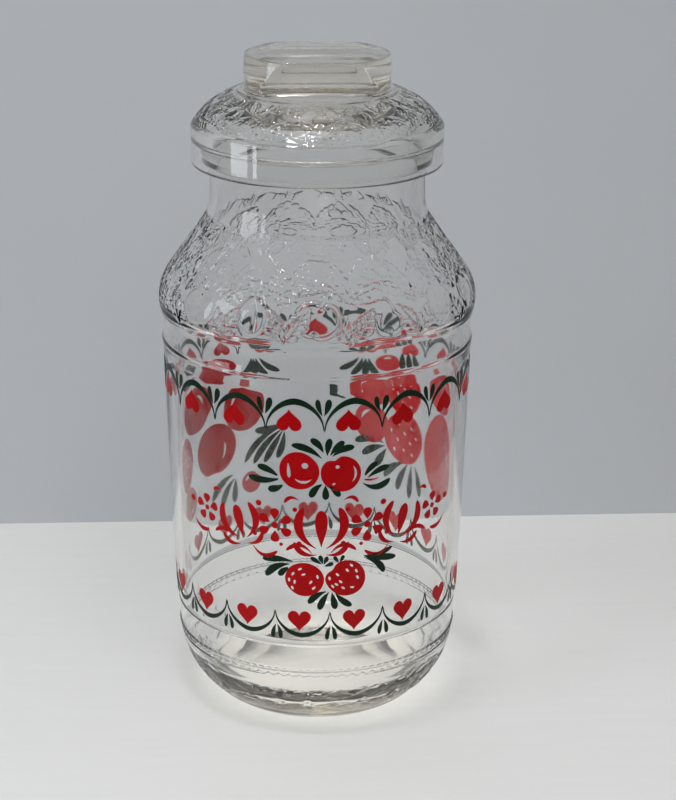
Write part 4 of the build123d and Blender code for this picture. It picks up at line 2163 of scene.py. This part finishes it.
@dataclass
class BodyPrint:
    """All of the enamel on the body."""

    printer: Printer

    def groups(self) -> dict[str, list[Mark]]:
        """Lists the groups of marks in the order in which they are printed.

        Returns:
            The groups.
        """
        radius = self.printer.middle_radius
        upper = ScallopBorder(
            False, cusp=145.2 * MM, outer=158.7 * MM, inner=155.9 * MM, first=1.0,
            heart_level=149.1 * MM, heart_size=(10.3 * MM, 9.8 * MM), heart_shift=2.3 * MM,
            stroke_level=(151.2 * MM, 158.4 * MM), stroke_spread=2.3 * MM, stroke_shift=-0.5 * MM,
            stroke_width=(2.2 * MM, 2.7 * MM), spike=1.4 * MM,
        )
        lower = ScallopBorder(
            True, cusp=59.9 * MM, outer=48.7 * MM, inner=50.9 * MM, first=3.4,
            heart_level=56.4 * MM, heart_size=(10.1 * MM, 9.9 * MM), heart_shift=1.3 * MM,
            stroke_level=(54.2 * MM, 47.6 * MM), stroke_spread=1.8 * MM, stroke_shift=0.6 * MM,
            stroke_width=(2.0 * MM, 2.0 * MM),
        )
        return {
            "upper_border": upper.marks(radius),
            "lower_border": lower.marks(radius),
            "cherries": CherryPanel(radius).marks(),
            "strawberries": StrawberryPanel(radius).marks(),
            "garland": Garland(radius).marks(),
            "bunch_right": FruitBunch(radius, *RIGHT_BUNCH).marks(),
            "bunch_left": FruitBunch(radius, *LEFT_BUNCH).marks(),
        }

    def build(self, finishes: dict[Ink, EnamelFinish], slots: dict[Ink, Slot]) -> None:
        """Lays every group on the glass, one piece for each colour.

        Args:
            finishes: Finish of each colour.
            slots: Material slot of each colour; not used.
        """
        materials = {ink: finish.material() for ink, finish in finishes.items()}
        for name, marks in self.groups().items():
            for ink in Ink:
                chosen = [mark for mark in marks if mark.ink is ink]
                if not chosen:
                    continue
                piece = self.printer.lay(f"print_{name}_{ink.value}", chosen)
                piece.data.materials.append(materials[ink])
                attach(piece, "jar")
                LOG.info("laid %s with %d marks", piece.name, len(chosen))


# The studio


@dataclass
class Studio:
    """A pale table against a plain wall, with window light from the left and above."""

    wall_distance: float = 0.1885
    wall_turn: float = 0.0154
    table_front: float = 0.25
    table_half: float = 0.32
    reach: float = 3.0
    wall_height: float = 1.4
    table_colour: Triple = (0.55, 0.55, 0.545)
    wall_colour: Triple = (0.39, 0.405, 0.43)
    daylight: Triple = (0.93, 0.97, 1.0)
    pane_light: Triple = (0.9, 0.96, 1.0)
    lamplight: Triple = (1.0, 0.99, 0.97)
    glint_light: Triple = (1.0, 1.0, 1.0)
    world_strength: float = 0.5
    world_steps: Sequence[tuple[float, Triple]] = (
        (0.0, (0.16, 0.155, 0.15)), (0.75, (1.7, 1.72, 1.72)), (1.0, (1.0, 1.0, 1.0)),
    )

    def sheet(self, name: str, corners: Sequence[Triple]) -> Piece:
        """Makes one flat sheet of the stage.

        Args:
            name: Name of the sheet.
            corners: Its corners in order.

        Returns:
            The new object.
        """
        mesh = bpy.data.meshes.new(name)
        mesh.from_pydata([list(corner) for corner in corners], [], [(0, 1, 2, 3)])
        made = bpy.data.objects.new(name, mesh)
        bpy.context.scene.collection.objects.link(made)
        return made

    def paint(self, name: str, colour: Triple, grain: float) -> bpy.types.Material:
        """Builds the matt finish of a sheet, which the camera sees through from behind.

        Args:
            name: Name of the material.
            colour: Its colour.
            grain: How much the colour varies, as a share.

        Returns:
            The material.
        """
        material, tree = new_material(name)
        place = add_node(tree, "ShaderNodeTexCoord").outputs["Object"]
        stretch = add_node(tree, "ShaderNodeMapping", Vector=place, Scale=(6.0, 60.0, 6.0))
        noise = add_node(
            tree, "ShaderNodeTexNoise", Vector=stretch.outputs["Vector"], Scale=3.0, Detail=8.0, Roughness=0.7
        )
        shade = colour_node(tree, noise.outputs["Fac"], [part * (1.0 - grain) for part in colour],
                            [part * (1.0 + grain) for part in colour])
        surface = add_node(tree, "ShaderNodeBsdfPrincipled", Base_Color=shade, Roughness=0.55)
        behind = add_node(tree, "ShaderNodeNewGeometry").outputs["Backfacing"]
        seen = add_node(tree, "ShaderNodeLightPath").outputs["Is Camera Ray"]
        both = math_node(tree, "MULTIPLY", behind, seen)
        finish_tree(tree, both, surface, add_node(tree, "ShaderNodeBsdfTransparent"))
        return material

    def build_stage(self) -> None:
        """Makes the table and the wall behind it."""
        def back(side: float) -> float:
            """Returns how far behind the jar the foot of the wall is at a place across."""
            return self.wall_distance + side * self.wall_turn

        half, front, reach, top = self.table_half, -self.table_front, self.reach, self.wall_height
        table = self.sheet("table", [(-half, front, 0.0), (half, front, 0.0), (half, back(half), 0.0),
                                     (-half, back(-half), 0.0)])
        table.data.materials.append(self.paint("table_paint", self.table_colour, 0.05))
        wall = self.sheet("wall", [(-reach, back(-reach), 0.0), (reach, back(reach), 0.0),
                                   (reach, back(reach), top), (-reach, back(-reach), top)])
        wall.data.materials.append(self.paint("wall_paint", self.wall_colour, 0.02))

    def lamp(self, name: str, place: Triple, size: Point, power: float, colour: Triple,
             mirrored: bool = True, lit: bool = True) -> None:
        """Makes one soft rectangular lamp that points at the middle of the jar.

        Args:
            name: Name of the lamp.
            place: Where it stands.
            size: Width and height of its face.
            power: Its power in watts.
            colour: Colour of its light.
            mirrored: Whether its face shows in gloss and through glass.
            lit: Whether it lights matt surfaces.
        """
        data = bpy.data.lights.new(name, "AREA")
        data.shape = "RECTANGLE"
        data.size, data.size_y = size
        data.energy = power
        data.color = colour
        lamp = bpy.data.objects.new(name, data)
        lamp.location = place
        lamp.rotation_euler = (Vector((0.0, 0.0, 0.15)) - Vector(place)).to_track_quat("-Z", "Y").to_euler()
        lamp.visible_glossy = mirrored
        lamp.visible_diffuse = lit
        lamp.visible_transmission = mirrored and lit
        bpy.context.scene.collection.objects.link(lamp)

    def build_light(self) -> None:
        """Makes the lamps, then the world, which is dim at the horizon and bright above."""
        self.lamp("window", (-1.25, -0.75, 0.85), (0.6, 1.0), 13.0, self.daylight, mirrored=False)
        self.lamp("ceiling", (-0.12, -0.2, 1.75), (0.2, 0.12), 7.5, self.lamplight)
        self.lamp("room", (0.35, -1.15, 1.25), (0.9, 0.9), 11.4, self.lamplight, mirrored=False)
        self.lamp("glint", (-0.35, -0.45, 1.3), (0.16, 0.16), 2.6, self.glint_light, lit=False)
        self.lamp("left_pane", (-0.66, -0.19, 0.33), (0.24, 0.52), 2.0, self.pane_light, lit=False)
        self.lamp("right_pane", (-0.58, -0.37, 0.33), (0.05, 0.52), 0.55, self.pane_light, lit=False)
        world = bpy.data.worlds.new("room")
        bpy.context.scene.world = world
        world.use_nodes = True
        tree = world.node_tree
        tree.nodes.clear()
        direction = add_node(tree, "ShaderNodeTexCoord").outputs["Generated"]
        parts = add_node(tree, "ShaderNodeSeparateXYZ", Vector=direction)
        ramp = add_node(tree, "ShaderNodeValToRGB", Fac=parts.outputs["Z"])
        stops = ramp.color_ramp.elements
        stops.new(0.5)
        for stop, (position, colour) in zip(stops, self.world_steps):
            stop.position = position
            stop.color = (*colour, 1.0)
        room = add_node(tree, "ShaderNodeBackground", Color=ramp.outputs["Color"],
                        Strength=self.world_strength)
        pale = add_node(tree, "ShaderNodeBackground", Color=(*self.wall_colour, 1.0), Strength=1.0)
        path = add_node(tree, "ShaderNodeLightPath")
        seen = math_node(tree, "MAXIMUM", path.outputs["Is Camera Ray"], path.outputs["Is Transmission Ray"])
        finish_tree(tree, seen, room, pale, "ShaderNodeOutputWorld")


@dataclass
class Viewpoint:
    """The camera at the photograph's place.

    Args:
        place: Where it stands.
        yaw: Its turn to the right, in degrees.
        pitch: How far it looks down, in degrees.
        roll: Its tilt, in degrees.
        lens: Focal length for a sensor of 36 mm.
    """

    place: Triple = (-0.02618, -0.89442, 0.44663)
    yaw: float = 2.275
    pitch: float = 19.212
    roll: float = 0.297
    lens: float = 95.83

    def build(self) -> None:
        """Makes the camera and sets it as the scene's own."""
        yaw, pitch, roll = (math.radians(angle) for angle in (self.yaw, self.pitch, self.roll))
        forward = Vector((math.sin(yaw) * math.cos(pitch), math.cos(yaw) * math.cos(pitch), -math.sin(pitch)))
        right = Vector((math.cos(yaw), -math.sin(yaw), 0.0))
        up = right.cross(forward)
        tilted_right = right * math.cos(roll) + up * math.sin(roll)
        tilted_up = up * math.cos(roll) - right * math.sin(roll)
        turn = Matrix((tilted_right, tilted_up, -forward)).transposed().to_4x4()
        data = bpy.data.cameras.new("view")
        data.lens = self.lens
        data.sensor_width = 36.0
        data.clip_start = 0.01
        camera = bpy.data.objects.new("view", data)
        camera.matrix_world = Matrix.Translation(Vector(self.place)) @ turn
        bpy.context.scene.collection.objects.link(camera)
        bpy.context.scene.camera = camera


def main() -> None:
    """Builds the jar, its lid, its print and the studio, in that order."""
    logging.basicConfig(level=logging.INFO, format="%(name)s: %(message)s")
    bpy.context.scene.view_settings.view_transform = "Standard"
    Viewpoint().build()
    studio = Studio()
    studio.build_stage()
    studio.build_light()
    jar = Jar()
    glass = jar.build()
    jar.dress(glass, JAR_FINISH)
    LOG.info("built %s with %d faces", glass.name, len(glass.data.polygons))
    lid = Lid()
    cap = lid.build()
    lid.dress(cap, LID_FINISH)
    LOG.info("built %s with %d faces", cap.name, len(cap.data.polygons))
    enamels = {Ink.RED: RED_FINISH, Ink.GREEN: GREEN_FINISH}
    BodyPrint(Printer(jar.body_skin())).build(enamels, {Ink.RED: Slot.RED, Ink.GREEN: Slot.GREEN})


if __name__ == "__main__":
    main()
